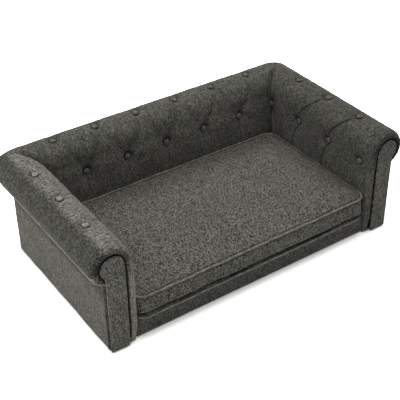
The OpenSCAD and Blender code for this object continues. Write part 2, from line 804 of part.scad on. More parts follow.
// Radius of the lower edge of a glide
glide_edge = 1.5;
module glides() {
  color(dark) at_glides() rotate_extrude() {
    square([glide_r - glide_edge, glide_h]);
    translate([0, glide_edge]) square([glide_r, glide_h - glide_edge]);
    translate([glide_r - glide_edge, glide_edge]) circle(glide_edge);
    square([glide_spigot_r, glide_h + glide_spigot_l]);
  }
}
module glide_bores() {
  at_glides() cylinder(r = glide_spigot_r + grip_gap, h = glide_h + glide_spigot_l + seat_gap);
}
module base_front_rail() {
  color(timber) difference() {
    translate([-core_x, rail_y, rail_low_z]) cube([2 * core_x, rail_t, rail_h]);
    glide_bores();
  }
}
module base_rear_rail() {
  color(timber) difference() {
    translate([-side_rail_x, rear_rail_y, rail_low_z]) cube([2 * side_rail_x, rail_t, rail_h]);
    rear_bolt_bores();
  }
}
module base_rail(side) {
  difference() {
    mirror([side > 0 ? 0 : 1, 0, 0]) translate([side_rail_x, side_rail_front_y, rail_low_z])
      cube([rail_t, core_y - side_rail_front_y, rail_h]);
    side_bolt_bores(side);
  }
}
module left_base_rail() {
  color(timber) base_rail(-1);
}
module right_base_rail() {
  color(timber) base_rail(1);
}
module corner_block() {
  linear_extrude(rail_h) polygon([[0, 0], [block_leg, 0], [0, block_leg]]);
}
module corner_blocks() {
  color(timber) for (m = [0, 1]) mirror([m, 0, 0]) translate([0, 0, rail_low_z]) {
    translate([side_rail_x, side_rail_front_y, 0]) mirror([1, 0, 0]) corner_block();
    translate([side_rail_x, rear_rail_y, 0]) rotate([0, 0, 180]) corner_block();
  }
}
cleat_z = rail_high_z - slat_t - cleat_side;
cleat_l = 2 * (side_rail_x - block_leg) - 2 * seat_gap;
module slat_cleats() {
  color(timber) for (y = [side_rail_front_y, rear_rail_y - cleat_side])
    translate([-cleat_l / 2, y, cleat_z]) cube([cleat_l, cleat_side, cleat_side]);
}
module deck_slats() {
  color(timber) for (s = slat_shares)
    translate([s * side_rail_x - slat_w / 2, side_rail_front_y, rail_high_z - slat_t])
      cube([slat_w, rear_rail_y - side_rail_front_y, slat_t]);
}
module seat_deck() {
  color(ply) translate([-core_x, rail_y, rail_high_z]) cube([2 * core_x, core_y - rail_y, deck_t]);
}
module dust_cover() {
  hem_r = wall_round - skin_t - seat_gap;
  cover_w = inner_x - seat_gap;
  cover_l = inner_y - seat_gap - rail_y;
  color(dark) translate([0, rail_y, glide_h - dust_t]) linear_extrude(dust_t) difference() {
    union() {
      translate([-cover_w, 0]) square([2 * cover_w, cover_l - hem_r]);
      translate([-cover_w + hem_r, 0]) square([2 * (cover_w - hem_r), cover_l]);
      for (side = [-1, 1]) translate([side * (cover_w - hem_r), cover_l - hem_r]) circle(hem_r);
    }
    translate([0, -rail_y]) for (p = glide_places) translate(p) circle(glide_r + seat_gap);
  }
}
// Padded band over the front rail, with soft edges
module front_rail_cover() {
  foot_r = rail_cover_round / 2;
  w = 2 * (face_x - seat_gap);
  color(fabric) translate([w / 2, rail_y - seat_gap, 0]) rotate([90, 0, -90]) linear_extrude(w) {
    translate([0, hem_gap]) square([rail_cover_t - rail_cover_round, deck_z - hem_gap]);
    translate([0, hem_gap + foot_r]) square([rail_cover_t, deck_z - hem_gap - foot_r - rail_cover_round]);
    translate([0, hem_gap]) square([rail_cover_t - foot_r, foot_r]);
    translate([rail_cover_t - foot_r, hem_gap + foot_r]) circle(foot_r);
    translate([rail_cover_t - rail_cover_round, deck_z - rail_cover_round]) intersection() {
      circle(rail_cover_round);
      square(rail_cover_round);
    }
  }
}

// Frame bolts: side rails to the arms, rear rail to the back. Local +Z points from the thread to the head.
side_bolts = [for (s = bolt_shares) side_rail_front_y + s * (core_y - side_rail_front_y)];
rear_bolts = [for (s = bolt_shares) (2 * s - 1) * side_rail_x];
bolt_hold = rail_t + board_t + insert_l - seat_gap;
module at_side_bolts(side) {
  for (y = side_bolts) translate([side * side_rail_x, y, bolt_z]) rotate([0, -side * 90, 0]) children();
}
module at_rear_bolts() {
  for (x = rear_bolts) translate([x, rear_rail_y, bolt_z]) rotate([90, 0, 0]) children();
}
module at_bolts() {
  for (side = [-1, 1]) at_side_bolts(side) children();
  at_rear_bolts() children();
}
module bolt_bore(grip) {
  translate([0, 0, -grip - over]) cylinder(r = bolt_r + hole_gap, h = grip + 2 * over);
  translate([0, 0, -grip - insert_l]) cylinder(r = insert_r, h = insert_l);
}
module side_bolt_bores(side) {
  at_side_bolts(side) bolt_bore(rail_t + board_t);
}
module rear_bolt_bores() {
  at_rear_bolts() bolt_bore(rail_t + board_t);
}
module frame_bolts() {
  socket_r = bolt_head_r / 2;
  color(steel) at_bolts() difference() {
    union() {
      translate([0, 0, -bolt_hold]) cylinder(r = bolt_r, h = bolt_hold + washer_t);
      translate([0, 0, washer_t]) cylinder(r = bolt_head_r, h = bolt_head_h);
    }
    translate([0, 0, washer_t + bolt_head_h / 2]) cylinder(r = socket_r, h = bolt_head_h, $fn = 6);
  }
}
module bolt_washers() {
  color(steel) at_bolts() difference() {
    cylinder(r = washer_r, h = washer_t);
    translate([0, 0, -over]) cylinder(r = bolt_r + hole_gap, h = washer_t + 2 * over);
  }
}
module insert_nuts() {
  color(steel) at_bolts() translate([0, 0, -rail_t - board_t - insert_l]) difference() {
    cylinder(r = insert_r, h = insert_l);
    translate([0, 0, -over]) cylinder(r = bolt_r + grip_gap, h = insert_l + 2 * over);
  }
}

// Cushion: a boxed, crowned form. Each ring is [distance in from the welts' outer line, height].
cushion_w = face_x - cushion_gap;
cushion_front_y = front_y;
cushion_back_y = face_y - cushion_gap;
cushion_mid_y = (cushion_front_y + cushion_back_y) / 2;
cushion_d = (cushion_back_y - cushion_front_y) / 2;
cushion_low_z = deck_z + seat_gap;
low_welt_z = deck_z + low_welt_rise;
top_welt_z = low_welt_z + boxing_h;
// The cover is pinched in beside each welt, just clear of it
pinch = welt_r * sqrt(2) + seat_gap;
function pinched(z) = [[welt_r, z - pinch], [welt_r + pinch, z], [welt_r, z + pinch]];
crown_shares = [0.06, 0.18, 0.38, 0.66, 1];
function crown_rise(s) = (crown_h - pinch) * (1 - pow(1 - s, 2));
cushion_rings = concat(
  [[crown_reach / 2, cushion_low_z], [2 * welt_r, cushion_low_z]],
  [for (p = pinched(low_welt_z)) if (p[1] > cushion_low_z) p],
  [for (s = [0.3, 0.7]) [welt_r + boxing_waist, low_welt_z + s * boxing_h]],
  pinched(top_welt_z),
  [for (s = crown_shares) [welt_r + s * (crown_reach - welt_r), top_welt_z + pinch + crown_rise(s)]]
);
// Outline of the cushion as unit places on a rounded rectangle, each side's mid part and its corners
corner_places = 5;
side_places = 6;
function cushion_outline() = concat(
  [for (k = [0 : corner_places]) corner_of(1, -1, 270 + 90 * k / corner_places)],
  [for (k = [1 : side_places - 1]) [cushion_w, lerp(-1, 1, k / side_places) * (cushion_d - cushion_round)]],
  [for (k = [0 : corner_places]) corner_of(1, 1, 90 * k / corner_places)],
  [for (k = [1 : side_places - 1]) [lerp(1, -1, k / side_places) * (cushion_w - cushion_round), cushion_d]],
  [for (k = [0 : corner_places]) corner_of(-1, 1, 90 + 90 * k / corner_places)],
  [for (k = [1 : side_places - 1]) [-cushion_w, lerp(1, -1, k / side_places) * (cushion_d - cushion_round)]],
  [for (k = [0 : corner_places]) corner_of(-1, -1, 180 + 90 * k / corner_places)],
  [for (k = [1 : side_places - 1]) [lerp(-1, 1, k / side_places) * (cushion_w - cushion_round), -cushion_d]]
);
function lerp(a, b, t) = a + t * (b - a);
function corner_of(sx, sy, angle) = [
  sx * (cushion_w - cushion_round) + cushion_round * cos(angle),
  sy * (cushion_d - cushion_round) + cushion_round * sin(angle)];
module cushion_form() {
  edge = cushion_outline();
  n = len(edge);
  m = len(cushion_rings);
  polyhedron(
    points = concat(
      [for (r = cushion_rings, p = edge)
        [p[0] * (cushion_w - r[0]) / cushion_w, cushion_mid_y + p[1] * (cushion_d - r[0]) / cushion_d, r[1]]],
      [[0, cushion_mid_y, cushion_low_z], [0, cushion_mid_y, top_welt_z + crown_h]]
    ),
    faces = concat(
      [for (i = [0 : m - 2], j = [0 : n - 1])
        each quad(i * n + j, (i + 1) * n + j, (i + 1) * n + (j + 1) % n, i * n + (j + 1) % n)],
      [for (j = [0 : n - 1]) [n * m, j, (j + 1) % n]],
      [for (j = [0 : n - 1]) [n * m + 1, (m - 1) * n + (j + 1) % n, (m - 1) * n + j]]
    )
  );
}
foam_gap = seat_gap;
foam_w = cushion_w - welt_r - cover_t;
foam_d = cushion_d - welt_r - cover_t;
foam_h = low_welt_rise + boxing_h - cover_t / 2;
module foam_block(grow) {
  translate([-foam_w - grow, cushion_mid_y - foam_d - grow, cushion_low_z + cover_t / 4 - grow])
    cube([2 * (foam_w + grow), 2 * (foam_d + grow), foam_h + 2 * grow]);
}
// Pocket for the zip along the rear boxing
tape_l = 2 * (cushion_w - 2 * cushion_round);
zip_z = low_welt_z + boxing_h / 2;
pocket_back_y = cushion_back_y - welt_r - boxing_waist;
pocket_d = tape_t + teeth_t;
tape_y = pocket_back_y - pocket_d;
module zip_bar(l, w, y, t) {
  translate([-l / 2, y, zip_z - w / 2]) cube([l, t, w]);
}
module cushion_cover() {
  color(fabric_light) difference() {
    cushion_form();
    foam_block(foam_gap);
    zip_bar(tape_l + 2 * seat_gap, tape_w + 2 * seat_gap, tape_y, pocket_d + boxing_waist + welt_r + over);
  }
}
module cushion_foam() {
  color([0.93, 0.90, 0.80]) foam_block(0);
}
// A welt is a round cord along the rounded outline, its centre one radius in
module welt(z) {
  turn_r = cushion_round - welt_r;
  run_w = cushion_w - cushion_round;
  run_d = cushion_d - cushion_round;
  translate([0, cushion_mid_y, z]) {
    for (sy = [-1, 1]) translate([-run_w, sy * (cushion_d - welt_r), 0]) rotate([0, 90, 0])
      cylinder(r = welt_r, h = 2 * run_w);
    for (sx = [-1, 1]) translate([sx * (cushion_w - welt_r), run_d, 0]) rotate([90, 0, 0])
      cylinder(r = welt_r, h = 2 * run_d);
    for (q = [[1, 1, 0], [-1, 1, 90], [-1, -1, 180], [1, -1, 270]])
      translate([q[0] * run_w, q[1] * run_d, 0]) rotate([0, 0, q[2]]) rotate_extrude(angle = 90)
        translate([turn_r, 0]) circle(welt_r);
  }
}
module cushion_top_welt() {
  color(fabric_light) welt(top_welt_z);
}
module cushion_bottom_welt() {
  color(fabric_light) welt(low_welt_z);
}

// Zip: tape and teeth lie in the pocket, the slider straddles the teeth
teeth_l = tape_l - 2 * slider_l;
slider_rest_x = tape_l / 2 - 2 * slider_l;
module zip_tape() {
  color(dark) zip_bar(tape_l, tape_w, tape_y, tape_t);
}
module zip_teeth() {
  color(dark) zip_bar(teeth_l, teeth_w, tape_y + tape_t, teeth_t);
}
slider_y = tape_y + tape_t + seat_gap;
slider_h = teeth_t + slider_wall;
module zip_slider() {
  ear_t = slider_wall;
  color(steel) translate([slider_rest_x, 0, 0]) difference() {
    union() {
      translate([-slider_l / 2, slider_y, zip_z - slider_w / 2]) cube([slider_l, slider_h, slider_w]);
      translate([-ear_t, slider_y + slider_h, zip_z - slider_w / 4]) cube([2 * ear_t, 2 * pull_t, slider_w / 2]);
    }
    translate([-slider_l / 2 - over, slider_y - over, zip_z - teeth_w / 2 - seat_gap])
      cube([slider_l + 2 * over, teeth_t + over, teeth_w + 2 * seat_gap]);
  }
}
module zip_pull() {
  eye = slider_w / 2 + 2 * seat_gap;
  width = slider_w - 2 * slider_wall;
  color(steel) translate([slider_rest_x, slider_y + slider_h + seat_gap, zip_z]) difference() {
    translate([-pull_l + width / 2, 0, 0]) rotate([-90, 0, 0]) linear_extrude(pull_t) {
      circle(width / 2);
      translate([0, -width / 2]) square([pull_l - width / 2, width]);
    }
    translate([-slider_wall - seat_gap, -over, -eye / 2]) cube([2 * (slider_wall + seat_gap), pull_t + 2 * over, eye]);
  }
}

base_front_rail();
base_rear_rail();
left_base_rail();
right_base_rail();
corner_blocks();
slat_cleats();
deck_slats();
seat_deck();
glides();
dust_cover();
left_arm_facing();
left_arm_bottom_rail();
left_arm_stile();
left_arm_top_rail();
left_arm_board();
right_arm_facing();
right_arm_bottom_rail();
right_arm_stile();
right_arm_top_rail();
right_arm_board();
left_corner_post();
right_corner_post();
back_bottom_rail();
back_frame_stiles();
back_top_rail();
back_board();
left_arm_pad();
right_arm_pad();
back_pad();
left_front_panel();
right_front_panel();
panel_studs();
left_outer_panel();
right_outer_panel();
rear_outer_panel();
front_rail_cover();
left_arm_buttons();
right_arm_buttons();
back_buttons();
corner_buttons();
button_ties();
tie_washers();
frame_bolts();
bolt_washers();
insert_nuts();
cushion_cover();
cushion_foam();
cushion_top_welt();
cushion_bottom_welt();
zip_tape();
zip_teeth();
zip_slider();
zip_pull();
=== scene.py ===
import json
import math

import bmesh
import bpy
import numpy as np
from mathutils import Euler, Matrix, Vector
from mathutils.kdtree import KDTree


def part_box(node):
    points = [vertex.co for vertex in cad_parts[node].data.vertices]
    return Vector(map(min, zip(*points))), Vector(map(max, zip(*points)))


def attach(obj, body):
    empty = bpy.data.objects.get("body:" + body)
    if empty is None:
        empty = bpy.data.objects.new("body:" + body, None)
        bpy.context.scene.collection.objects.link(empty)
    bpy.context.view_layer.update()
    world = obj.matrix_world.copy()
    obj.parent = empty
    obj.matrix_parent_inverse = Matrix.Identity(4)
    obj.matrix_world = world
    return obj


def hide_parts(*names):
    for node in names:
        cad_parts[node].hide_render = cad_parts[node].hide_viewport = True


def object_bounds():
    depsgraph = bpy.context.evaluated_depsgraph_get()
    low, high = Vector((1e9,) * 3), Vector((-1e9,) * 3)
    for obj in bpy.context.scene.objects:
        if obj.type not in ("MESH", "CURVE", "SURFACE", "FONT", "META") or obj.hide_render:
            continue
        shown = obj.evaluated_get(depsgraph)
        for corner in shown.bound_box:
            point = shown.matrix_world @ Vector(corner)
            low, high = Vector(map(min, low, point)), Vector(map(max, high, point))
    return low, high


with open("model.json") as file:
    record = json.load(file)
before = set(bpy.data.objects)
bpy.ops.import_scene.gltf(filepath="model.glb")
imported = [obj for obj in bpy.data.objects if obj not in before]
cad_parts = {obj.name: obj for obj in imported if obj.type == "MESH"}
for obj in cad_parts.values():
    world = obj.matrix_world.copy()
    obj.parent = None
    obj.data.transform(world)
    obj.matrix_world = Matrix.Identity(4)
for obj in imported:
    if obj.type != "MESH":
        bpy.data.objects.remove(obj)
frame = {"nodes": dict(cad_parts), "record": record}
cad_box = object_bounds()

# Sizes in metres. Places come from the frame's own nodes.
MM = 0.001
SEAT_GAP = 0.3 * MM
ROLL_INSET = 20 * MM
CORE_T = 55 * MM
CORE_R = 34.5 * MM
CREASE_SINK = 11.5 * MM
CREASE_ROUND = 40 * MM
CREASE_FADE = 150 * MM
CORNER_SINK = 14.5 * MM
CORNER_SPREAD = 34 * MM
CORNER_ROUND = 36 * MM
CORNER_ROWS = 15
PAD_STEP = 7 * MM
STRIP_BULGE = 10 * MM
TUFT_SINK = 12 * MM
TUFT_SPREAD = 25 * MM
CROWN_SINK = 8 * MM
# The share of a button's depth that is a tight well round it. The rest is an easy slope.
WELL_SHARE = 0.45
CAP_R = 8.4 * MM
CAP_LIFT = 3.2 * MM
CAP_DOME = 4.6 * MM
WELT_R = 4 * MM
CUSHION_ROUND = 34 * MM
WALL_ROUND = 20 * MM

wall_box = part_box("right_outer_panel")
panel_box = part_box("right_front_panel")
rail_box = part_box("front_rail_cover")
welt_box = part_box("cushion_top_welt")
low_welt_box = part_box("cushion_bottom_welt")
cushion_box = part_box("cushion_cover")
WALL_X = wall_box[1][0]
WALL_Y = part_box("rear_outer_panel")[1][1]
HEM_Z, SKIN_TOP_Z = wall_box[0][2], wall_box[1][2]
FRONT_Y, PAD_FRONT_Y = panel_box[0][1], panel_box[1][1]
TOP_Z = cad_box[1][2]
ROLL_R = cad_box[1][0] - WALL_X + ROLL_INSET
ROLL_Z = TOP_Z - ROLL_R
DECK_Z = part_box("seat_deck")[1][2]
FACE_X = rail_box[1][0] + SEAT_GAP
FACE_Y = welt_box[1][1] + (FACE_X - welt_box[1][0])
ARM_T = WALL_X - FACE_X
BACK_T = WALL_Y - FACE_Y
CREASE_X = FACE_X + CREASE_SINK
CREASE_Y = FACE_Y + CREASE_SINK
# Half the cushion's width and depth, and its middle
CUSHION_W = welt_box[1][0]
CUSHION_D = (welt_box[1][1] - welt_box[0][1]) / 2
CUSHION_Y = (welt_box[0][1] + welt_box[1][1]) / 2
CUSHION_LOW_Z, CROWN_TOP_Z = cushion_box[0][2], cushion_box[1][2]
TOP_WELT_Z = (welt_box[0][2] + welt_box[1][2]) / 2
LOW_WELT_Z = (low_welt_box[0][2] + low_welt_box[1][2]) / 2
BOTTOM_CORD_Z = LOW_WELT_Z - 1.5 * MM

ARM_INTERVALS = 3
BACK_INTERVALS = 6
BUTTON_MARGIN = 55.5 * MM
BUTTON_SHARE = 0.8
BUTTON_Z = DECK_Z + BUTTON_SHARE * (ROLL_Z - DECK_Z)
FIRST_BUTTON_Y = FRONT_Y + BUTTON_MARGIN
ARM_PITCH = (CREASE_Y - FIRST_BUTTON_Y) / ARM_INTERVALS
BACK_PITCH = 2 * CREASE_X / BACK_INTERVALS
ARM_LOW = [FIRST_BUTTON_Y + i * ARM_PITCH for i in range(ARM_INTERVALS)]
ARM_CROWN = [y + ARM_PITCH / 2 for y in ARM_LOW]
BACK_LOW = [-CREASE_X + i * BACK_PITCH for i in range(1, BACK_INTERVALS)]
BACK_CROWN = [-CREASE_X + (i + 0.5) * BACK_PITCH for i in range(BACK_INTERVALS)]
CORNER_START_Y = CREASE_Y - ARM_PITCH / 4
CORNER_START_X = CREASE_X - BACK_PITCH / 3


# Numbers and lines
def ease(q):
    return q * q * (3 - 2 * q)


def clamp(q):
    return np.clip(q, 0, 1)


def hump(gap, width, power=2):
    """1 where the gap is nought, and falling away over the width."""
    return np.exp(-(gap / width) ** power)


def ripple(x, y, length, seed):
    """Soft irregular unevenness between about -1 and 1, of the given wave length."""
    waves = 9
    rng = np.random.default_rng(seed)
    total = 0
    for _ in range(waves):
        turn = rng.uniform(0, 2 * math.pi)
        size = length * rng.uniform(0.7, 1.5)
        total = total + np.sin(2 * math.pi * (x * math.cos(turn) + y * math.sin(turn)) / size
                               + rng.uniform(0, 2 * math.pi))
    return total / math.sqrt(waves)


def gathers(run, pitch, uneven, length, seed):
    """Waves along a run at a pitch, whose phase wanders by uneven over the given length."""
    return np.sin(run / pitch * 2 * math.pi + uneven * ripple(run, 0, length, seed))


def distances(points):
    """How far along a line each of its points lies."""
    steps = np.linalg.norm(np.diff(np.asarray(points, float), axis=0), axis=1)
    return np.concatenate([[0], np.cumsum(steps)])


def arc(cx, cz, r, angles):
    return [(cx + r * math.cos(a), cz + r * math.sin(a)) for a in angles]


def even_steps(outline, count=None, step=None):
    """Points at even steps round a closed outline, and how far along it each of them lies."""
    closed = np.vstack([outline, outline[:1]])
    gone = distances(closed)
    spots = np.linspace(0, gone[-1], count or round(gone[-1] / step), endpoint=False)
    return np.stack([np.interp(spots, gone, closed[:, i]) for i in (0, 1)], 1), spots


def outward(loop):
    """The outward direction at each point of a closed loop that runs anticlockwise."""
    ahead = np.roll(loop, -1, 0) - np.roll(loop, 1, 0)
    ahead /= np.linalg.norm(ahead, axis=1)[:, None]
    return np.stack([ahead[:, 1], -ahead[:, 0]], 1)


# Node materials
def srgb(r, g, b):
    """A colour as written in 0 to 255, as the shader wants it."""
    return tuple(((c / 255 + 0.055) / 1.055) ** 2.4 for c in (r, g, b)) + (1,)


def grey(value):
    return (value, value, value, 1)


def scaled(colour, by):
    return tuple(min(1, c * by) for c in colour[:3]) + (1,)


class Nodes:
    """The node tree of a material or a world, with short calls for the nodes used here."""

    def __init__(self, owner):
        owner.use_nodes = True
        self.owner = owner
        self.tree = owner.node_tree

    def feed(self, node, inputs):
        """Gives inputs, by name or number, a value or another node's output."""
        for key, value in inputs.items():
            if isinstance(value, bpy.types.NodeSocket):
                self.tree.links.new(value, node.inputs[key])
            else:
                node.inputs[key].default_value = value

    def add(self, kind, inputs=None, **settings):
        node = self.tree.nodes.new(kind)
        for key, value in settings.items():
            setattr(node, key, value)
        self.feed(node, inputs or {})
        return node

    def math(self, operation, a, b=0.0, clamp=False):
        return self.add("ShaderNodeMath", {0: a, 1: b}, operation=operation, use_clamp=clamp).outputs[0]

    def blend(self, a, b, share):
        """The given share of b and the rest of a."""
        return self.math("ADD", self.math("MULTIPLY", a, 1 - share), self.math("MULTIPLY", b, share))

    def mapped(self, vector, scale=(1, 1, 1), turn=0.0):
        inputs = {"Vector": vector, "Scale": scale, "Rotation": (0, 0, turn)}
        return self.add("ShaderNodeMapping", inputs).outputs[0]

    def noise(self, vector, scale, detail=2.0, rough=0.5, twist=0.0, out=0):
        inputs = {"Vector": vector, "Scale": scale, "Detail": detail, "Roughness": rough, "Distortion": twist}
        return self.add("ShaderNodeTexNoise", inputs).outputs[out]

    def ramp(self, value, stops):
        node = self.add("ShaderNodeValToRGB", {0: value})
        elements = node.color_ramp.elements
        while len(elements) < len(stops):
            elements.new(0.5)
        for element, (place, colour) in zip(elements, stops):
            element.position = place
            element.color = tuple(colour[:3]) + (1,)
        return node.outputs[0]

    def mix(self, factor, a, b, blend="MIX"):
        inputs = {"Factor": factor, 6: a, 7: b}
        return self.add("ShaderNodeMix", inputs, data_type="RGBA", blend_type=blend).outputs[2]

    def uneven(self, tone, value, half, low, high):
        """A tone times a grey that goes from low to high while the value crosses its middle by half."""
        factor = self.ramp(value, [(0.5 - half, grey(low)), (0.5 + half, grey(high))])
        return self.mix(1.0, tone, factor, "MULTIPLY")

    def bump(self, height, strength, distance):
        inputs = {"Height": height, "Strength": strength, "Distance": distance}
        return self.add("ShaderNodeBump", inputs).outputs[0]

    def place(self):
        return self.add("ShaderNodeTexCoord").outputs["Object"]

    def point_value(self, name):
        return self.add("ShaderNodeAttribute", attribute_name=name).outputs["Fac"]

    def surface(self, inputs):
        """Feeds the material's own shader, and gives the material back."""
        self.feed(self.tree.nodes["Principled BSDF"], inputs)
        return self.owner

    def shown(self, unseen, seen, output):
        """Gives camera rays one shader, and all other light another."""
        ray = self.add("ShaderNodeLightPath").outputs["Is Camera Ray"]
        pick = self.add("ShaderNodeMixShader", {0: ray, 1: unseen, 2: seen})
        self.feed(self.tree.nodes[output], {0: pick.outputs[0]})


def material_nodes(name):
    return Nodes(bpy.data.materials.new(name))


def yarn_lengths(n, flat, pitch, length, turn=0.0):
    """Lengths of yarn side by side, each of its own shade between 0 and 1."""
    across, along = n.add("ShaderNodeSeparateXYZ", {0: n.mapped(flat, turn=turn)}).outputs[:2]
    column = n.math("FLOOR", n.math("DIVIDE", across, pitch))
    start = n.add("ShaderNodeTexWhiteNoise", {"W": column}, noise_dimensions="1D")
    shift = n.math("MULTIPLY", start.outputs[0], 9)
    row = n.math("FLOOR", n.math("ADD", n.math("DIVIDE", along, length), shift))
    cell = n.add("ShaderNodeCombineXYZ", {0: column, 1: row})
    return n.add("ShaderNodeTexWhiteNoise", {"Vector": cell.outputs[0]}, noise_dimensions="2D").outputs[0]


# The darkest, middle and lightest lengths of yarn
YARN_TONES = ((40, 39, 35), (92, 91, 85), (152, 150, 141))
SHEEN_TONE = (222, 219, 207)
WEFT_SHARE = 0.2
# How much the painted highlight lightens the cloth, and the tone left under full painted shade
HIGHLIGHT_GAIN = 3.4
SHADE_GAIN = 0.04


def fabric(name, level=1.0, contrast=1.0, painted_light=None, yarn=1.3 * MM, run=6 * MM, sway=1.6 * MM):
    """Heathered chenille: soft warp yarns with darker and lighter lengths, over a thin weft.

    level scales the colour. Given a pair of factors, the cloth is darkened by the first as painted shade and
    lightened by the second as painted light, where its point value says so. Warp yarns lie yarn apart, keep
    one shade for the length run and wander off the straight by up to sway.
    """
    n = material_nodes(name)
    weave = n.add("ShaderNodeUVMap", uv_map="weave").outputs[0]
    wander = n.noise(weave, 90, out="Color")
    flat = n.add("ShaderNodeVectorMath", {0: wander, 1: (sway, sway, 0), 2: weave},
                 operation="MULTIPLY_ADD").outputs[0]
    # The warp runs along the map's second axis
    warp = n.blend(yarn_lengths(n, flat, yarn, run), yarn_lengths(n, flat, 0.6 * yarn, 0.7 * run), 0.4)
    both = n.blend(warp, yarn_lengths(n, flat, yarn, 0.7 * run, math.pi / 2), WEFT_SHARE)
    dark, mid, light = (srgb(*[c * level for c in tone]) for tone in YARN_TONES)
    spread = 0.5 / contrast
    tone = n.ramp(both, [(0.5 - spread, dark), (0.5, mid), (0.5 + spread, light)])
    # Blots and a slow drift of the colour
    drawn_out = n.mapped(flat, (1, 0.6, 1))
    tone = n.uneven(tone, n.noise(drawn_out, 55, 3.0, 0.6, 0.4), 0.2, 0.96, 1.04)
    tone = n.uneven(tone, n.noise(n.place(), 6.5), 0.15, 0.96, 1.04)
    # Painted light and shade: the cloth is lightened where lit and darkened where in shade, as its point
    # value says
    if painted_light:
        lit_mottle = n.math("SUBTRACT", n.noise(drawn_out, 80, 3.0, 0.65, 0.8), 0.5)
        edge = n.math("ADD", n.point_value("painted_light"), n.math("MULTIPLY", lit_mottle, 0.9), clamp=True)
        tone = n.uneven(tone, edge, 0.35, *painted_light)
    # Painted highlight: the cloth is lightened where its point value says, along rounded edges that catch the
    # light
    tone = n.mix(n.point_value("painted_highlight"), tone, scaled(mid, HIGHLIGHT_GAIN))
    # Painted shade: the cloth is darkened in folds, seams, wells and under overhangs, where shade falls
    painted_shade = n.math("MULTIPLY", n.point_value("shade"), 0.97, clamp=True)
    tone = n.mix(painted_shade, tone, scaled(mid, SHADE_GAIN))
    return n.surface({"Base Color": tone, "Normal": n.bump(both, 0.45, 1.0 * MM), "Roughness": 0.92,
                      "Specular IOR Level": 0.25, "Sheen Weight": 1.0, "Sheen Roughness": 0.25,
                      "Sheen Tint": srgb(*SHEEN_TONE)})


def wood(name, tone, stretch=(1.5, 9, 9)):
    """Softwood or plywood: long grain, darker late wood and a few pores. stretch gives the grain's way."""
    n = material_nodes(name)
    place = n.mapped(n.place(), stretch)
    rings, grain = n.noise(place, 14, 4.0, 0.55, 0.5), n.noise(place, 120, 3.0, 0.6)
    stops = [(0.35, scaled(tone, 0.55)), (0.55, tone), (0.7, scaled(tone, 1.18))]
    return n.surface({"Base Color": n.ramp(n.blend(rings, grain, 0.3), stops),
                      "Normal": n.bump(grain, 0.3, 0.4 * MM), "Roughness": 0.7})


def metal(name, tone, rough):
    n = material_nodes(name)
    brushed = n.noise(n.mapped(n.place(), (40, 1, 40)), 90, 3.0, 0.6)
    colour = n.ramp(n.noise(n.place(), 260), [(0.3, scaled(tone, 0.82)), (0.7, tone)])
    finish = n.ramp(brushed, [(0.3, grey(rough * 0.8)), (0.7, grey(rough * 1.25))])
    return n.surface({"Base Color": colour, "Roughness": finish, "Metallic": 1.0,
                      "Normal": n.bump(brushed, 0.15, 0.1 * MM)})


def plain(name, tone, rough, speck, depth):
    """Matt plastic, foam, twine or felt: a colour with fine specks and a rough face."""
    n = material_nodes(name)
    specks = n.noise(n.place(), speck, 3.0, 0.65)
    return n.surface({"Base Color": n.ramp(specks, [(0.3, scaled(tone, 0.8)), (0.7, scaled(tone, 1.15))]),
                      "Normal": n.bump(specks, 0.4, depth * MM), "Roughness": rough})


# Meshes
def corner_points(mesh):
    """The number of the point at each corner of a face."""
    out = np.zeros(len(mesh.loops), int)
    mesh.loops.foreach_get("vertex_index", out)
    return out


def mesh_piece(name, points, faces, uvs=None):
    """A smooth mesh object from points and faces. uvs holds a place in the weave for each point."""
    mesh = bpy.data.meshes.new(name)
    mesh.from_pydata([tuple(p) for p in points], [], [tuple(f) for f in faces])
    mesh.validate()
    mesh.polygons.foreach_set("use_smooth", [True] * len(mesh.polygons))
    piece = bpy.data.objects.new(name, mesh)
    bpy.context.scene.collection.objects.link(piece)
    if uvs is not None:
        layer = mesh.uv_layers.new(name="weave")
        layer.uv.foreach_set("vector", np.asarray(uvs, np.float32)[corner_points(mesh)].ravel())
    return piece


def read_points(mesh, key="co"):
    out = np.zeros(len(mesh.vertices) * 3)
    mesh.vertices.foreach_get(key, out)
    return out.reshape(-1, 3)


def places(piece):
    return read_points(piece.data)


def set_places(piece, points):
    piece.data.vertices.foreach_set("co", np.asarray(points, float).ravel())
    piece.data.update()


def normals(piece):
    piece.data.update()
    return read_points(piece.data, "normal")


def outwards(piece, join=False, cut=False):
    """Turns a closed mesh's faces outwards. Can join doubled points and cut up many-sided faces."""
    work = bmesh.new()
    work.from_mesh(piece.data)
    if join:
        bmesh.ops.remove_doubles(work, verts=work.verts, dist=0.01 * MM)
    if cut:
        bmesh.ops.triangulate(work, faces=[f for f in work.faces if len(f.verts) > 4])
    bmesh.ops.recalc_face_normals(work, faces=work.faces)
    for face in work.faces:
        face.smooth = True
    work.to_mesh(piece.data)
    work.free()
    piece.data.update()


def evaluated(piece):
    return piece.evaluated_get(bpy.context.evaluated_depsgraph_get())


def apply_modifiers(piece):
    bpy.context.view_layer.update()
    done = bpy.data.meshes.new_from_object(evaluated(piece))
    piece.modifiers.clear()
    old = piece.data
    piece.data = done
    done.name = old.name
    bpy.data.meshes.remove(old)


def box_weave(piece):
    """A weave map by each face's direction: warp front to back on top, and upright on the sides."""
    mesh = piece.data
    layer = mesh.uv_layers.get("weave") or mesh.uv_layers.new(name="weave")
    spots = places(piece)[corner_points(mesh)]
    out = np.zeros((len(mesh.loops), 2), np.float32)
    for face in mesh.polygons:
        across, along = ((1, 2), (0, 2), (0, 1))[int(np.argmax(np.abs(face.normal)))]
        for loop in face.loop_indices:
            out[loop] = spots[loop, across], spots[loop, along]
    layer.uv.foreach_set("vector", out.ravel())


def weave_of(piece):
    """Each point's place in the weave map."""
    mesh = piece.data
    flat = np.zeros(len(mesh.loops) * 2, np.float32)
    mesh.uv_layers["weave"].uv.foreach_get("vector", flat)
    out = np.zeros((len(mesh.vertices), 2))
    out[corner_points(mesh)] = flat.reshape(-1, 2)
    return out


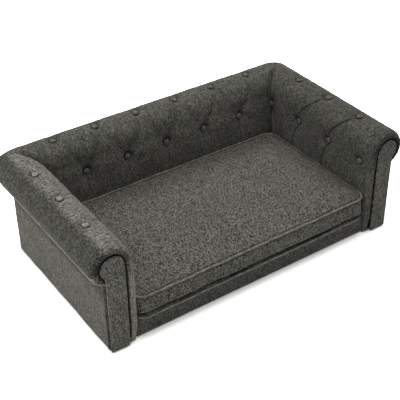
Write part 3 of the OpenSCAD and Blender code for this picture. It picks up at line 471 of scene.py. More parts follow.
def grid_faces(rows, cols, start=0, closed=False):
    """Quads of a grid of points, row after row. A closed grid joins its last column to its first."""
    out = []
    for i in range(rows - 1):
        for j in range(cols if closed else cols - 1):
            k = (j + 1) % cols
            out.append((start + i * cols + j, start + (i + 1) * cols + j,
                        start + (i + 1) * cols + k, start + i * cols + k))
    return out


def refine(piece, levels=1):
    """Splits every face and rounds the form."""
    split = piece.modifiers.new("split", "SUBSURF")
    split.levels = split.render_levels = levels
    split.boundary_smooth = "PRESERVE_CORNERS"
    apply_modifiers(piece)


def attribute(piece, name, values):
    layer = piece.data.attributes.new(name, "FLOAT", "POINT")
    layer.data.foreach_set("value", np.asarray(values, np.float32))


def evened(piece, values, times):
    """Values on a mesh's points, averaged with those of their neighbours."""
    ends = np.zeros(len(piece.data.edges) * 2, int)
    piece.data.edges.foreach_get("vertices", ends)
    a, b = ends.reshape(-1, 2).T
    count = 1 + np.bincount(a, minlength=len(values)) + np.bincount(b, minlength=len(values))
    for _ in range(times):
        total = values + np.bincount(a, values[b], len(values)) + np.bincount(b, values[a], len(values))
        values = total / count
    return values


PAD_PRESSURE = 0.9
CUSHION_PRESSURE = 3.0
CLOTH_FRAMES = 20


def swell(piece, held, pressure, cap, slack, evenings=0):
    """Fills the cloth out by pressure. held is 1 where it is fastened, cap the furthest a point may move.

    With evenings, points move along their normals only, by amounts evened out that many times.
    """
    start = places(piece)
    group = piece.vertex_groups.new(name="held")
    group.add([int(i) for i in np.nonzero(held)[0]], 1.0, "REPLACE")
    cloth = piece.modifiers.new("cloth", "CLOTH")
    rules = cloth.settings
    rules.quality = 5
    rules.mass = 0.15
    rules.tension_stiffness = rules.compression_stiffness = 12
    rules.shear_stiffness = 6
    rules.bending_stiffness = 0.4
    rules.tension_damping = rules.compression_damping = rules.shear_damping = 8
    rules.air_damping = 2
    rules.use_pressure = True
    rules.uniform_pressure_force = pressure
    rules.shrink_min = -slack
    rules.vertex_group_mass = "held"
    rules.effector_weights.gravity = 0
    cloth.collision_settings.use_collision = False
    cloth.collision_settings.use_self_collision = False
    scene = bpy.context.scene
    cloth.point_cache.frame_start, cloth.point_cache.frame_end = 1, CLOTH_FRAMES
    scene.frame_start, scene.frame_end = 1, CLOTH_FRAMES
    for number in range(1, CLOTH_FRAMES + 1):
        scene.frame_set(number)
    spots = read_points(evaluated(piece).to_mesh())
    evaluated(piece).to_mesh_clear()
    piece.modifiers.clear()
    piece.vertex_groups.clear()
    scene.frame_set(1)
    moved = np.nan_to_num(spots - start)
    limit = np.broadcast_to(np.asarray(cap, float), (len(start),))
    length = np.linalg.norm(moved, axis=1)
    if evenings:
        out = normals(piece)
        length = evened(piece, np.clip((moved * out).sum(1), 0, 3 * limit), evenings)
        moved = out * length[:, None]
    soft = limit * np.tanh(length / np.maximum(limit, 1e-6))
    moved *= (soft / np.maximum(length, 1e-9))[:, None]
    set_places(piece, start + moved)


# Padded surfaces. v is the distance over a pad's surface above the level of the roll's axis.
def wall_angle(r):
    """The angle round the roll's axis at which a surface of radius r meets the outer wall."""
    return math.pi + math.acos((ROLL_INSET + SEAT_GAP) / r)


LOW_V = BUTTON_Z - ROLL_Z
CROWN_V = math.pi / 2 * ROLL_R
UNDER_L = (wall_angle(ROLL_R) - math.pi / 2) * ROLL_R
END_V = CROWN_V + UNDER_L


def section(v, angle, lead, drawn):
    """[distance inwards from the outer wall, height], where drawn is the depth below the plain pad."""
    rise = ease(clamp(-v / (ROLL_Z - BUTTON_Z)))
    face = ROLL_INSET + ROLL_R + (lead - ROLL_INSET - ROLL_R) * rise
    on_face = v <= 0
    reach = np.where(on_face, face - drawn, ROLL_INSET + (ROLL_R - drawn) * np.cos(angle))
    height = np.where(on_face, ROLL_Z + v, ROLL_Z + (ROLL_R - drawn) * np.sin(angle))
    return reach, height


def columns(low_z):
    """Places over a pad: v along the surface, and the share of the way from crown to wall, or -1."""
    face = np.linspace(low_z - ROLL_Z, 0, round((ROLL_Z - low_z) / PAD_STEP) + 1)
    crown = np.linspace(0, CROWN_V, round(CROWN_V / PAD_STEP) + 1)[1:]
    under = np.linspace(0, 1, round(UNDER_L / PAD_STEP) + 1)[1:]
    v = np.concatenate([face, crown, CROWN_V + under * UNDER_L])
    share = np.concatenate([np.full(len(face) + len(crown), -1.0), under])
    return v, share


def angles(v, share, r):
    under = math.pi / 2 + share * (wall_angle(r) - math.pi / 2)
    return np.where(share < 0, np.clip(v, 0, None) / ROLL_R, under)


def crease_at(gap, v):
    """Depth of the corner crease at a distance from it."""
    run = CREASE_SINK * ease(clamp(1 - v / CREASE_FADE)) * clamp(1 - gap / CREASE_ROUND) ** 2
    spot = CORNER_SINK * np.exp(-(gap ** 2 + (v - LOW_V) ** 2) / CORNER_SPREAD ** 2)
    return np.maximum(run, spot)


def corner_pull(angle):
    """How far the roll is rounded in at the corner, from 50 degrees round its axis on."""
    return CORNER_ROUND * (1 - math.sqrt(0.5)) * ease(clamp((np.degrees(angle) - 50) / 90))


def pull_share(u):
    return clamp((u - 0.7) / 0.3) ** 2


def rib(v, angle, lead):
    """Distance inwards at which a pad ends at the corner."""
    return section(v, angle, lead, crease_at(0, v))[0] + corner_pull(angle)


def arm_corner_at(y, v):
    return WALL_Y - rib(v, np.clip(v, 0, None) / ROLL_R, BACK_T) - y


def back_corner_at(x, v):
    return WALL_X - rib(v, np.clip(v, 0, None) / ROLL_R, ARM_T) - np.abs(x)


def all_buttons(lows, crowns):
    """(along, v, depth, spread) of each button of a pad."""
    return ([(a, LOW_V, TUFT_SINK, TUFT_SPREAD) for a in lows]
            + [(a, CROWN_V, CROWN_SINK, 0.7 * TUFT_SPREAD) for a in crowns])


def past_cap(gap):
    return np.clip(gap - CAP_R, 0, None)


def buttoning(along, v, lows, crowns):
    """Easy slopes round the buttons, as depth drawn in."""
    depth = np.zeros_like(v)
    for a, level, sink, spread in all_buttons(lows, crowns):
        gap = past_cap(np.hypot(along - a, v - level))
        depth = np.maximum(depth, (1 - WELL_SHARE) * sink * hump(gap, spread))
    return depth


def wells(along, v, lows, crowns, lit):
    """The tight well round each button: its depth and its shade.

    lit is 1 where the wall's side of a crown well lies in shade, -1 where the seat's side does.
    """
    depth, shade = np.zeros_like(v), np.zeros_like(v)
    for a, level, sink, _ in all_buttons(lows, crowns):
        gap = past_cap(np.hypot(along - a, v - level))
        depth = np.maximum(depth, WELL_SHARE * sink * hump(gap, 7.5 * MM))
        # Painted shade: a dark ring round each cap, and a painted shadow in the hollow on the side away from
        # the light
        above, dark = (10 * MM, 0.7) if level < 0 else (lit * 8 * MM, 0.5)
        hollow_shadow = dark * hump(np.hypot(along - a - 6 * MM, v - level - above), 12 * MM)
        shade = np.maximum(shade, np.maximum(0.9 * hump(gap, 3 * MM), hollow_shadow))
    return depth, shade


def puckers(along, v, lows, crowns, seed):
    """Small folds that run out from each button."""
    depth = np.zeros_like(along)
    rng = np.random.default_rng(seed)
    for a, level, *_ in all_buttons(lows, crowns):
        turn = np.arctan2(v - level, along - a)
        rays = sum(rng.uniform(0.4, 1.0) * np.sin(k * turn + rng.uniform(0, 6.28)) for k in (3, 5, 7, 9))
        reach = np.hypot(along - a, v - level) / (14 * MM)
        size = 0.55 * MM * (1.0 if level < 0 else 0.7)
        depth += size * rays * reach ** 2 * np.exp(2 * (1 - reach))
    return depth


def pleat(along, v, path, width, depth, soft):
    """A fold along a path of (along, v) places: a soft valley, or a line with one steep and one easy side."""
    best = np.full(along.shape, 1e9)
    side, place = np.zeros_like(along), np.zeros_like(along)
    gone = distances(path)
    for p, q, before in zip(path, path[1:], gone):
        run = (q[0] - p[0], q[1] - p[1])
        l = math.hypot(*run)
        t = clamp(((along - p[0]) * run[0] + (v - p[1]) * run[1]) / l ** 2)
        dx, dy = along - p[0] - t * run[0], v - p[1] - t * run[1]
        gap = np.hypot(dx, dy)
        near = gap < best
        best = np.where(near, gap, best)
        side = np.where(near, np.sign(run[0] * dy - run[1] * dx), side)
        place = np.where(near, (before + t * l) / gone[-1], place)
    ends = clamp(place * 6) * clamp((1 - place) * 4) * 0.6 + 0.4
    if soft:
        return depth * hump(best, width) * ends
    return depth * hump(best, np.where(side > 0, width, width * 2.2), 1) * ends


def curve(points):
    """A smooth path through three or more guiding points, as a Bezier curve."""
    out = []
    for t in np.linspace(0, 1, 10):
        work = np.array(points, float)
        while len(work) > 1:
            work = work[:-1] * (1 - t) + work[1:] * t
        out.append(tuple(work[0]))
    return out


# The pad's rolled front, from behind the panel outwards: (millimetres below the plain pad, millimetres back)
FRONT_SHAPE = ((24.5, -0.3), (21.4, -0.3), (20.9, -3.6), (20.2, -7.0), (18.6, -9.2), (16.0, -10.2),
               (13.0, -10.0), (10.0, -8.8), (7.2, -6.6), (4.8, -3.8), (2.8, -0.4), (1.2, 3.6), (0.2, 8.4))
PROFILE = [(inset * MM, back * MM) for inset, back in FRONT_SHAPE]
# How far along the cloth each place of the rolled front lies. It ends where the plain pad begins.
BEAD_Y = PAD_FRONT_Y + PROFILE[-1][1]
RUNS = BEAD_Y + distances(PROFILE) - distances(PROFILE)[-1]


def pinned(along, v, foot, lows, crowns):
    """1 where a pad's sheet is fastened: up to its foot, at its end on the wall and under the buttons."""
    pins = np.where((v < foot) | (v > v[-2]), 1.0, 0.0)
    for a, level, *_ in all_buttons(lows, crowns):
        pins[np.hypot(along - a, v - level) < CAP_R] = 1
    return pins


def arm_sheet(side):
    """Outer surface of an arm pad as rows of points, from the edge beside the front panel to the corner."""
    v, share = columns(HEM_Z)
    # The strip beside the panel leans back towards the floor
    lean = 1 - 0.75 * ease(clamp((60 * MM - ROLL_Z - v) / (58 * MM)))
    front = [(inset, PAD_FRONT_Y + back * (lean if back < -1 * MM else 1), along)
             for (inset, back), along in zip(PROFILE, RUNS)]
    run_l = CORNER_START_Y - BEAD_Y
    plain_run = np.linspace(0, run_l, round(run_l / PAD_STEP) + 1)[1:]
    rows = [(angles(v, share, ROLL_R - inset), y + 0 * v, np.full_like(v, along), inset, 0 * v)
            for inset, y, along in front + [(0.0, BEAD_Y + l, BEAD_Y + l) for l in plain_run]]
    angle = angles(v, share, ROLL_R)
    rib_y = WALL_Y - rib(v, angle, BACK_T) - SEAT_GAP / 2
    for k in range(1, CORNER_ROWS + 1):
        u = k / CORNER_ROWS
        y = CORNER_START_Y + u * (rib_y - CORNER_START_Y)
        rows.append((angle, y, y, 0.0, corner_pull(angle) * pull_share(u)))
    # Below the head the strip beside the panel is stuffed fuller and bulges before the cushion's corner
    stem = STRIP_BULGE * ease(clamp((-v - 5 * MM) / (45 * MM)))
    hidden = PROFILE[1][0]
    points, uvs, held = [], [], []
    for number, (angle, y, along, inset, pulled) in enumerate(rows):
        depth = np.maximum(buttoning(y, v, ARM_LOW, ARM_CROWN), crease_at(rib_y - y, v))
        depth = depth * clamp(1 - inset / (3 * MM)) + inset
        full = stem * ease(clamp((PAD_FRONT_Y + 0.8 * MM - y) / (7 * MM)))
        depth = depth - full * (1 - inset / hidden) * (inset < hidden)
        reach, height = section(v, angle, ARM_T, depth)
        points.append(np.stack([side * (WALL_X - reach - pulled), y, height], 1))
        uvs.append(np.stack([along, v], 1))
        pins = pinned(along, v, HEM_Z - ROLL_Z + 4 * MM, ARM_LOW, ARM_CROWN)
        held.append(np.ones_like(v) if number < 3 or number > len(rows) - 3 else pins)
    return np.array(points), np.array(uvs), np.array(held)


def back_sheet():
    """Outer surface of the back pad, from the right corner to the left one."""
    v, share = columns(DECK_Z)
    angle = angles(v, share, ROLL_R)
    x0 = CORNER_START_X
    rib_x = WALL_X - rib(v, angle, ARM_T) - SEAT_GAP / 2
    corner = [(x0 + u * (rib_x - x0), corner_pull(angle) * pull_share(u))
              for u in np.linspace(0, 1, CORNER_ROWS + 1)[1:]]
    middle = [(np.full_like(v, x), 0 * v) for x in np.linspace(x0, -x0, round(2 * x0 / PAD_STEP) + 1)]
    rows = corner[::-1] + middle + [(-x, pulled) for x, pulled in corner]
    points, uvs, held = [], [], []
    for number, (x, pulled) in enumerate(rows):
        depth = np.maximum(buttoning(x, v, BACK_LOW, BACK_CROWN), crease_at(rib_x - np.abs(x), v))
        reach, height = section(v, angle, BACK_T, depth)
        points.append(np.stack([x, WALL_Y - reach - pulled, height], 1))
        uvs.append(np.stack([x, v], 1))
        pins = pinned(x, v, DECK_Z - ROLL_Z + 6 * MM, BACK_LOW, BACK_CROWN)
        held.append(np.ones_like(v) if number < 2 or number > len(rows) - 3 else pins)
    return np.array(points), np.array(uvs), np.array(held)


def front_gathers(along, v, seed):
    """Gathers over an arm pad's rolled front, as depth, and the shade that this front lies in."""
    inset = np.interp(along, RUNS, [p[0] for p in PROFILE])
    round_head = clamp((v + 60 * MM) / (50 * MM))
    reach = clamp(1 - (along - BEAD_Y + 2 * MM) / (16 * MM)) * (0.25 + 0.75 * round_head)
    spokes = gathers(v, 8.6 * MM, 1.3, 30 * MM, seed)
    fine = gathers(v, 4.9 * MM, 2, 22 * MM, seed + 1)
    # The cloth runs out of sight beside the panel, and round the head its front lies in the roll's shade
    beside = np.interp(inset, [16.5 * MM, 20 * MM], [0, 1])
    ring = np.interp(inset, [1 * MM, 9 * MM, 16 * MM, 19.5 * MM], [0, 0.36, 0.62, 1]) * (1 + 0.5 * spokes)
    shade = clamp(beside + (ring - beside) * round_head)
    # Painted shade: towards the wall the underside of the roll is darkened, where it sinks into its seam
    under = 0.5 * clamp((v - END_V + 9 * MM) / (9 * MM)) ** 1.5
    return (0.6 * spokes + 0.3 * fine) * MM * reach, np.maximum(shade, under)


def upholstered(name, sheet, folds, lows, crowns, seed, corner_at, gathered=False, lit=1):
    """A pad: its sheet is filled out round the buttons, then refined and given its wells, pleats and puckers.

    folds holds (path, width, depth, soft) of each pleat, with width and depth in millimetres. corner_at gives
    the distance of a place (along, v) from the corner crease. lit says which side of the crown's wells lies
    in shade.
    """
    points, uvs, held = sheet
    rows, cols = points.shape[:2]
    along, v = uvs.reshape(-1, 2).T
    spots = points.reshape(-1, 3)
    # The sheet's faces look outwards, which is upwards on the crown
    top = int(np.argmin(np.abs(v - CROWN_V) + np.abs(along)))
    col, row = spots[top + 1] - spots[top], spots[(top + cols) % len(spots)] - spots[top]
    faces = grid_faces(rows, cols)
    if np.cross(row, col)[2] < 0:
        faces = [f[::-1] for f in faces]
    pad = mesh_piece(name, spots, faces, uvs.reshape(-1, 2))
    near = np.min([np.hypot(along - a, v - level) for a, level, *_ in all_buttons(lows, crowns)], axis=0)
    levels = [-0.14, -0.09, 0.35 * CROWN_V, 0.8 * CROWN_V]
    full = np.interp(v, levels, [1.5 * MM, 3.5 * MM, 3.0 * MM, 1.0 * MM])
    cap = full * (1 - hump(near, 28 * MM)) + 0.05 * MM
    swell(pad, held.ravel(), PAD_PRESSURE, cap, 0.01, evenings=4)
    refine(pad, 2)
    along, v = weave_of(pad).T
    depth, shade = wells(along, v, lows, crowns, lit)
    depth += puckers(along, v, lows, crowns, seed)
    # Each pleat is sunk and painted in shade along its line
    for path, width, deep, soft in folds:
        line = pleat(along, v, curve(path), width * MM, deep * MM, soft)
        depth += line
        shade = np.maximum(shade, (0.25 if soft else 1) * clamp(line / (3 * MM)) ** 1.3)
    depth += 0.3 * MM * ripple(along, v, 45 * MM, seed) + 0.12 * MM * ripple(along, v, 16 * MM, seed + 1)
    # Painted shade along the corner crease
    beyond = np.clip(corner_at(along, v), 0, None)
    crease = np.maximum(hump(beyond, 3.5 * MM, 1), 0.4 * hump(beyond, 18 * MM, 1))
    shade = np.maximum(shade, crease * clamp(1.2 - v / CROWN_V))
    if gathered:
        drawn, dark = front_gathers(along, v, seed + 2)
        depth += drawn
        shade = np.maximum(shade, dark)
    set_places(pad, places(pad) - normals(pad) * depth[:, None])
    attribute(pad, "shade", shade)
    return pad


def arm_folds(share):
    """Sharp pleats: from each crown button back and down to the next lower button, then on to the seat."""
    half, width = ARM_PITCH / 2, 1.7
    out = []
    # The crown's last pleat, towards the corner, and the first lower one hardly show
    for a, deep in zip(ARM_CROWN, (3.2, 3.2, 1.0)):
        path = [(a, CROWN_V - 6 * MM), (a + 6 * MM, CROWN_V - 30 * MM), (a + half * 0.42, 0.3 * CROWN_V),
                (a + half * 0.95, LOW_V + 52 * MM), (a + half, LOW_V + 6 * MM)]
        out.append((path, width, share * deep, False))
    for a, deep in zip(ARM_LOW, (1.0, 3.0, 3.0)):
        path = [(a, LOW_V - 6 * MM), (a + 8 * MM, LOW_V - 28 * MM), (a + 17 * MM, LOW_V - 45 * MM),
                (a + 17 * MM, LOW_V - 120 * MM)]
        out.append((path, width, deep, False))
    return out


def back_folds():
    """Soft valleys from each lower button to the crown buttons on both sides, each with a faint crease."""
    out = []
    half = BACK_PITCH / 2
    for a in BACK_LOW:
        for turn, deep in ((1, 3.4), (-1, 2.4)):
            path = [(a, LOW_V + 4 * MM), (a + turn * half * 0.5, LOW_V + 42 * MM),
                    (a + turn * half, CROWN_V - 12 * MM)]
            out += [(path, 11, deep, True), (path, 1.8, 0.8, False)]
        path = [(a, LOW_V - 4 * MM), (a + 1 * MM, LOW_V - 30 * MM), (a + 4 * MM, LOW_V - 75 * MM)]
        out += [(path, 8, 1.6, True), (path, 1.8, 0.7, False)]
    return out


# Buttons
def button_place(spot, out, seed):
    """Stands local +Z along out at a place, with a slight random lean."""
    rng = np.random.default_rng(seed)
    lean = Euler(tuple(np.radians(rng.uniform(-4, 4, 2))) + (rng.uniform(0, 6.28),)).to_matrix().to_4x4()
    return Matrix.Translation(spot) @ Vector(out).to_track_quat("Z", "Y").to_matrix().to_4x4() @ lean


def button_row(spots, out, place_seed, fold_seed):
    """(matrix, seed) of each button of a row that faces out."""
    return [(button_place(spot, out, place_seed + i), fold_seed + i) for i, spot in enumerate(spots)]


# A button's outline from its top to its underside: (share of its radius, share of its dome)
BUTTON_SHAPE = ((0.0, 1.0), (0.2, 0.985), (0.42, 0.93), (0.62, 0.82), (0.8, 0.64), (0.92, 0.42),
                (0.985, 0.18), (1.0, -0.05), (0.97, -0.5), (0.8, -0.9), (0.3, -1.1))


def button_mesh(name, buttons):
    """Covered buttons: a domed cap whose cloth is drawn in round the rim. buttons are (matrix, seed)."""
    around = 40
    points, faces, uvs = [], [], []
    for matrix, seed in buttons:
        phase = np.random.default_rng(seed).uniform(0, 6.28, 3)
        start = len(points)
        for share, level in BUTTON_SHAPE:
            for k in range(around):
                turn = 2 * math.pi * k / around
                waves = math.sin(9 * turn + phase[0]) + 0.7 * math.sin(14 * turn + phase[1])
                fold = waves * 0.012 * share ** 6
                r = CAP_R * share * (1 + fold)
                x, y = r * math.cos(turn), r * math.sin(turn)
                points.append(matrix @ Vector((x, y, CAP_LIFT + CAP_DOME * level * (1 + fold))))
                uvs.append((x + phase[2], y))
        faces += grid_faces(len(BUTTON_SHAPE), around, start, closed=True)
        faces.append(tuple(range(len(points) - around, len(points))))
    return mesh_piece(name, points, faces, uvs)


# Rail, walls and front panels
def soft_box(name, low, high, radius, step):
    """A box with rounded edges and a fine, even mesh. Its weave runs upright on the sides."""
    low, high = np.array(low), np.array(high)
    turn = radius * (1 - np.cos(np.linspace(0, math.pi / 2, 4)[:-1]))
    lines = [np.concatenate([a + turn, np.linspace(a + radius, b - radius, max(4, round((b - a) / step)) + 1),
                             b - turn[::-1]]) for a, b in zip(low, high)]
    points, faces = [], []
    for axis, b, c in ((0, 1, 2), (1, 2, 0), (2, 0, 1)):
        for end in (low, high):
            grid = grid_faces(len(lines[b]), len(lines[c]), len(points))
            for p in lines[b]:
                for q in lines[c]:
                    spot = np.zeros(3)
                    spot[axis], spot[b], spot[c] = end[axis], p, q
                    inner = np.clip(spot, low + radius, high - radius)
                    away = spot - inner
                    points.append(inner + away * radius / max(np.linalg.norm(away), 1e-9))
            faces += grid if end is high else [f[::-1] for f in grid]
    box = mesh_piece(name, points, faces)
    outwards(box, join=True)
    box_weave(box)
    return box


def edge_turn(radius, count=5, end=math.pi / 2):
    """(distance from the edge, depth) over a rounded edge, from its foot outwards."""
    return [(radius * (1 - math.cos(q)), radius * (1 - math.sin(q))) for q in np.linspace(0, end, count)]


# The bead where a wall's cloth meets the roll: (millimetres above the panel's top, millimetres deep)
HEM_SHAPE = ((-9.0, 0.0), (-6.6, -0.3), (-4.8, -1.3), (-3.0, -1.8), (-1.2, -1.4), (0.6, -0.1), (8.0, 0.6))


def wall_levels():
    """(height, depth below the face) up a wall."""
    low = [(HEM_Z + rise, depth) for rise, depth in edge_turn(3 * MM)]
    return (low + [(z, 0.0) for z in np.linspace(low[-1][0], SKIN_TOP_Z - 12 * MM, 32)[1:]]
            + [(SKIN_TOP_Z + rise * MM, depth * MM) for rise, depth in HEM_SHAPE])


def wall_sheet(name, path, seed):
    """A wall's upright cloth along a path of (x, y, outward x, outward y)."""
    levels = wall_levels()
    points, uvs = [], []
    for (x, y, ox, oy), l in zip(path, distances([p[:2] for p in path])):
        for z, depth in levels:
            lift = 0.5 * MM * float(ripple(l, z, 90 * MM, seed)) - depth
            points.append((x + ox * lift, y + oy * lift, z))
            uvs.append((l, z - 0.3 * depth))
    sheet = mesh_piece(name, points, grid_faces(len(path), len(levels)), uvs)
    # Less light reaches the wall under the roll's overhang, and hardly any its edge behind the front panel
    _, y, z = places(sheet).T
    under = 0.45 * ease(clamp((z - ROLL_Z + 108 * MM) / (14 * MM)))
    beside = 0.95 * clamp((PAD_FRONT_Y + 6.5 * MM - y) / (4 * MM))
    attribute(sheet, "shade", np.maximum(under, beside))
    return sheet


def scroll_outline():
    """Outline of a front panel: (inwards, height) round the board, the rolled head on the outer side."""
    foot, notch = 4 * MM, 5 * MM
    stem = round((ROLL_Z - HEM_Z) / (4 * MM))
    head_end = math.pi + math.acos(ROLL_INSET / CORE_R) - 0.16
    out = arc(foot, HEM_Z + foot, foot, np.linspace(math.pi, 1.5 * math.pi, 5))
    out += arc(CORE_T - foot, HEM_Z + foot, foot, np.linspace(1.5 * math.pi, 2 * math.pi, 5))
    out += [(CORE_T, z) for z in np.linspace(HEM_Z + foot, ROLL_Z, stem)[1:-1]]
    out += arc(ROLL_INSET, ROLL_Z, CORE_R, np.linspace(0, head_end, 34))
    return out + [(0.0, z) for z in np.linspace(out[-1][1] - notch, HEM_Z + foot, stem)[:-1]]


# The groove round a front panel: (millimetres inwards, millimetres behind the front, shade)
GROOVE_SHAPE = ((0.1, 11.0, 0.3), (1.8, 10.2, 1), (2.6, 7.2, 1), (1.8, 4.6, 1), (0.1, 3.7, 0.3))


def front_panel_mesh(name, side):
    """A padded board: its cloth is drawn into a groove before it turns over the soft front edge."""
    loop, run = even_steps(np.array(scroll_outline()), step=2.5 * MM)
    # Light rounding of the notch under the head
    for _ in range(2):
        loop = 0.5 * loop + 0.25 * (np.roll(loop, 1, 0) + np.roll(loop, -1, 0))
    # The head's wrapping is pulled a little tighter than the stem's
    from_middle = loop - (ROLL_INSET, ROLL_Z)
    tight = 1.4 * MM * ease(clamp((loop[:, 1] - ROLL_Z + 34 * MM) / (14 * MM)))
    loop -= (tight / np.maximum(np.hypot(*from_middle.T), 1e-6))[:, None] * from_middle
    inward = -outward(loop)
    depth = PAD_FRONT_Y - FRONT_Y
    edge = 3 * MM
    rings = [(0.8 * MM, depth, 0), (0.0, depth - 0.4 * MM, 0)]
    rings += [(inset * MM, back * MM, dark) for inset, back, dark in GROOVE_SHAPE]
    rings += [(inset, back, 0) for inset, back in edge_turn(edge, 6, math.radians(80))]
    rings += [(edge * 1.3, -0.2 * MM, 0)]
    points, uvs, shades = [], [], []
    beside_pad = (loop[:, 0] > 2 * MM) | (loop[:, 1] > ROLL_Z - 20 * MM)
    ripples = 0.25 * MM * ripple(run, 0, 28 * MM, 70 + side)
    for inset, back, dark in rings:
        # Painted shade: the groove is darkened, and so are the board's sides beside the pad, which lie in the
        # gap
        shades += list(np.where(beside_pad, clamp((back - 2.4 * MM) / (2 * MM)), dark))
        for (t, z), w in zip(loop + inward * inset, ripples):
            points.append((side * (WALL_X - t), FRONT_Y + back + w * (back < depth * 0.6), z))
            uvs.append((side * t, z))
    count = len(loop)
    faces = grid_faces(len(rings), count, closed=True)
    faces += [tuple(range(len(points) - count, len(points))), tuple(range(count))[::-1]]
    panel = mesh_piece(name, points, faces, uvs)
    outwards(panel, cut=True)
    attribute(panel, "shade", shades)
    return panel


# Cushion
def cushion_outline(count):
    """Points round the welts' middle line, at even steps, and how far along it each of them lies."""
    w, d, r = CUSHION_W - WELT_R, CUSHION_D - WELT_R, CUSHION_ROUND - WELT_R
    out = []
    for cx, cy, start in ((1, -1, -90), (1, 1, 0), (-1, 1, 90), (-1, -1, 180)):
        out += arc(cx * (w - r), CUSHION_Y + cy * (d - r), r, np.radians(np.linspace(start, start + 90, 14)))
    return even_steps(np.array(out), count)


def welt_mesh(name, z):
    """Piping: a cord in the cushion's fabric, slightly uneven, that follows the seam."""
    around, r, seed = 12, WELT_R * 0.82, 7
    line, run = cushion_outline(420)
    sway = np.minimum(0.5 * MM * ripple(run, 0, 130 * MM, seed), 0.3 * MM)
    lift = 0.6 * MM * ripple(run, 1, 110 * MM, seed + 1)
    points, uvs = [], []
    for (x, y), (ox, oy), s, h, l in zip(line, outward(line), sway, lift, run):
        for k in range(around):
            turn = 2 * math.pi * k / around
            reach = r * math.cos(turn) + s
            points.append((x + ox * reach, y + oy * reach, z + h + r * math.sin(turn)))
            uvs.append((turn * r, l))
    faces = grid_faces(len(line), around, closed=True)
    last = (len(line) - 1) * around
    faces += [(last + k, k, (k + 1) % around, last + (k + 1) % around) for k in range(around)]
    cord = mesh_piece(name, points, faces, uvs)
    outwards(cord)
    return cord


def sewn_to_welts(spots):
    """Draws the cover out to each cord's middle, so that the cord sits in its seam in a line of shade."""
    line, _ = cushion_outline(900)
    tree = KDTree(len(line))
    for i, (x, y) in enumerate(line):
        tree.insert((x, y, 0), i)
    tree.balance()
    within = 16 * MM
    spots = spots.copy()
    dark = np.zeros(len(spots))
    for seam in (TOP_WELT_Z, BOTTOM_CORD_Z):
        rise = spots[:, 2] - seam + 0.5 * MM
        for i in np.nonzero(np.abs(rise) < 6 * MM)[0]:
            near, _, gap = tree.find((spots[i, 0], spots[i, 1], 0))
            if gap < within:
                pull = 0.9 * hump(rise[i], 2.4 * MM, 4) * min(1, (within - gap) / (4 * MM))
                spots[i, :2] += pull * (np.array(near[:2]) - spots[i, :2])
                dark[i] = 0.8 * hump((1 - pull) * gap - 5 * MM, 2.4 * MM)
    return spots, dark


def cushion_form():
    """The cushion's plain form: rings from its underside over its waisted sides to its crown."""
    count = 240
    # (inset, height)
    rings = [(0.16, CUSHION_LOW_Z), (0.08, CUSHION_LOW_Z), (1.6 * WELT_R, CUSHION_LOW_Z),
             (1.2 * WELT_R, LOW_WELT_Z + 1 * MM)]
    for s, inset in ((0.18, 0.5), (0.3, 0.4), (0.5, 0.7), (0.7, 1.0), (0.84, 1.2)):
        rings.append((inset * WELT_R, LOW_WELT_Z + s * (TOP_WELT_Z - LOW_WELT_Z)))
    rings += [(1.3 * WELT_R, TOP_WELT_Z - 4.5 * MM), (1.6 * WELT_R, TOP_WELT_Z - 1 * MM),
              (2.1 * WELT_R, TOP_WELT_Z + 1.5 * MM)]
    crown = CROWN_TOP_Z - TOP_WELT_Z - 2.5 * MM
    for s in (0.05, 0.12, 0.22, 0.36, 0.55, 0.78, 1.0):
        rings.append((WELT_R * 2.3 + s * 0.15, TOP_WELT_Z + 1.5 * MM + crown * (1 - (1 - s) ** 2.2)))
    line, _ = cushion_outline(count)
    points = []
    for inset, z in rings:
        across = (CUSHION_W - inset) / (CUSHION_W - WELT_R)
        back = (CUSHION_D - inset) / (CUSHION_D - WELT_R)
        points += [(x * across, CUSHION_Y + (y - CUSHION_Y) * back, z) for x, y in line]
    faces = grid_faces(len(rings), count, closed=True)
    faces += [tuple(range(count))[::-1], tuple(range(len(points) - count, len(points)))]
    form = mesh_piece("cushion_form", points, faces)
    outwards(form)
    remesh = form.modifiers.new("remesh", "REMESH")
    remesh.mode = "VOXEL"
    remesh.voxel_size = 5 * MM
    remesh.use_smooth_shade = True
    apply_modifiers(form)
    return form


def side_gap(x, y):
    """Distance inwards from the cushion's nearest side."""
    return np.minimum(CUSHION_W - np.abs(x), CUSHION_D - np.abs(y - CUSHION_Y))


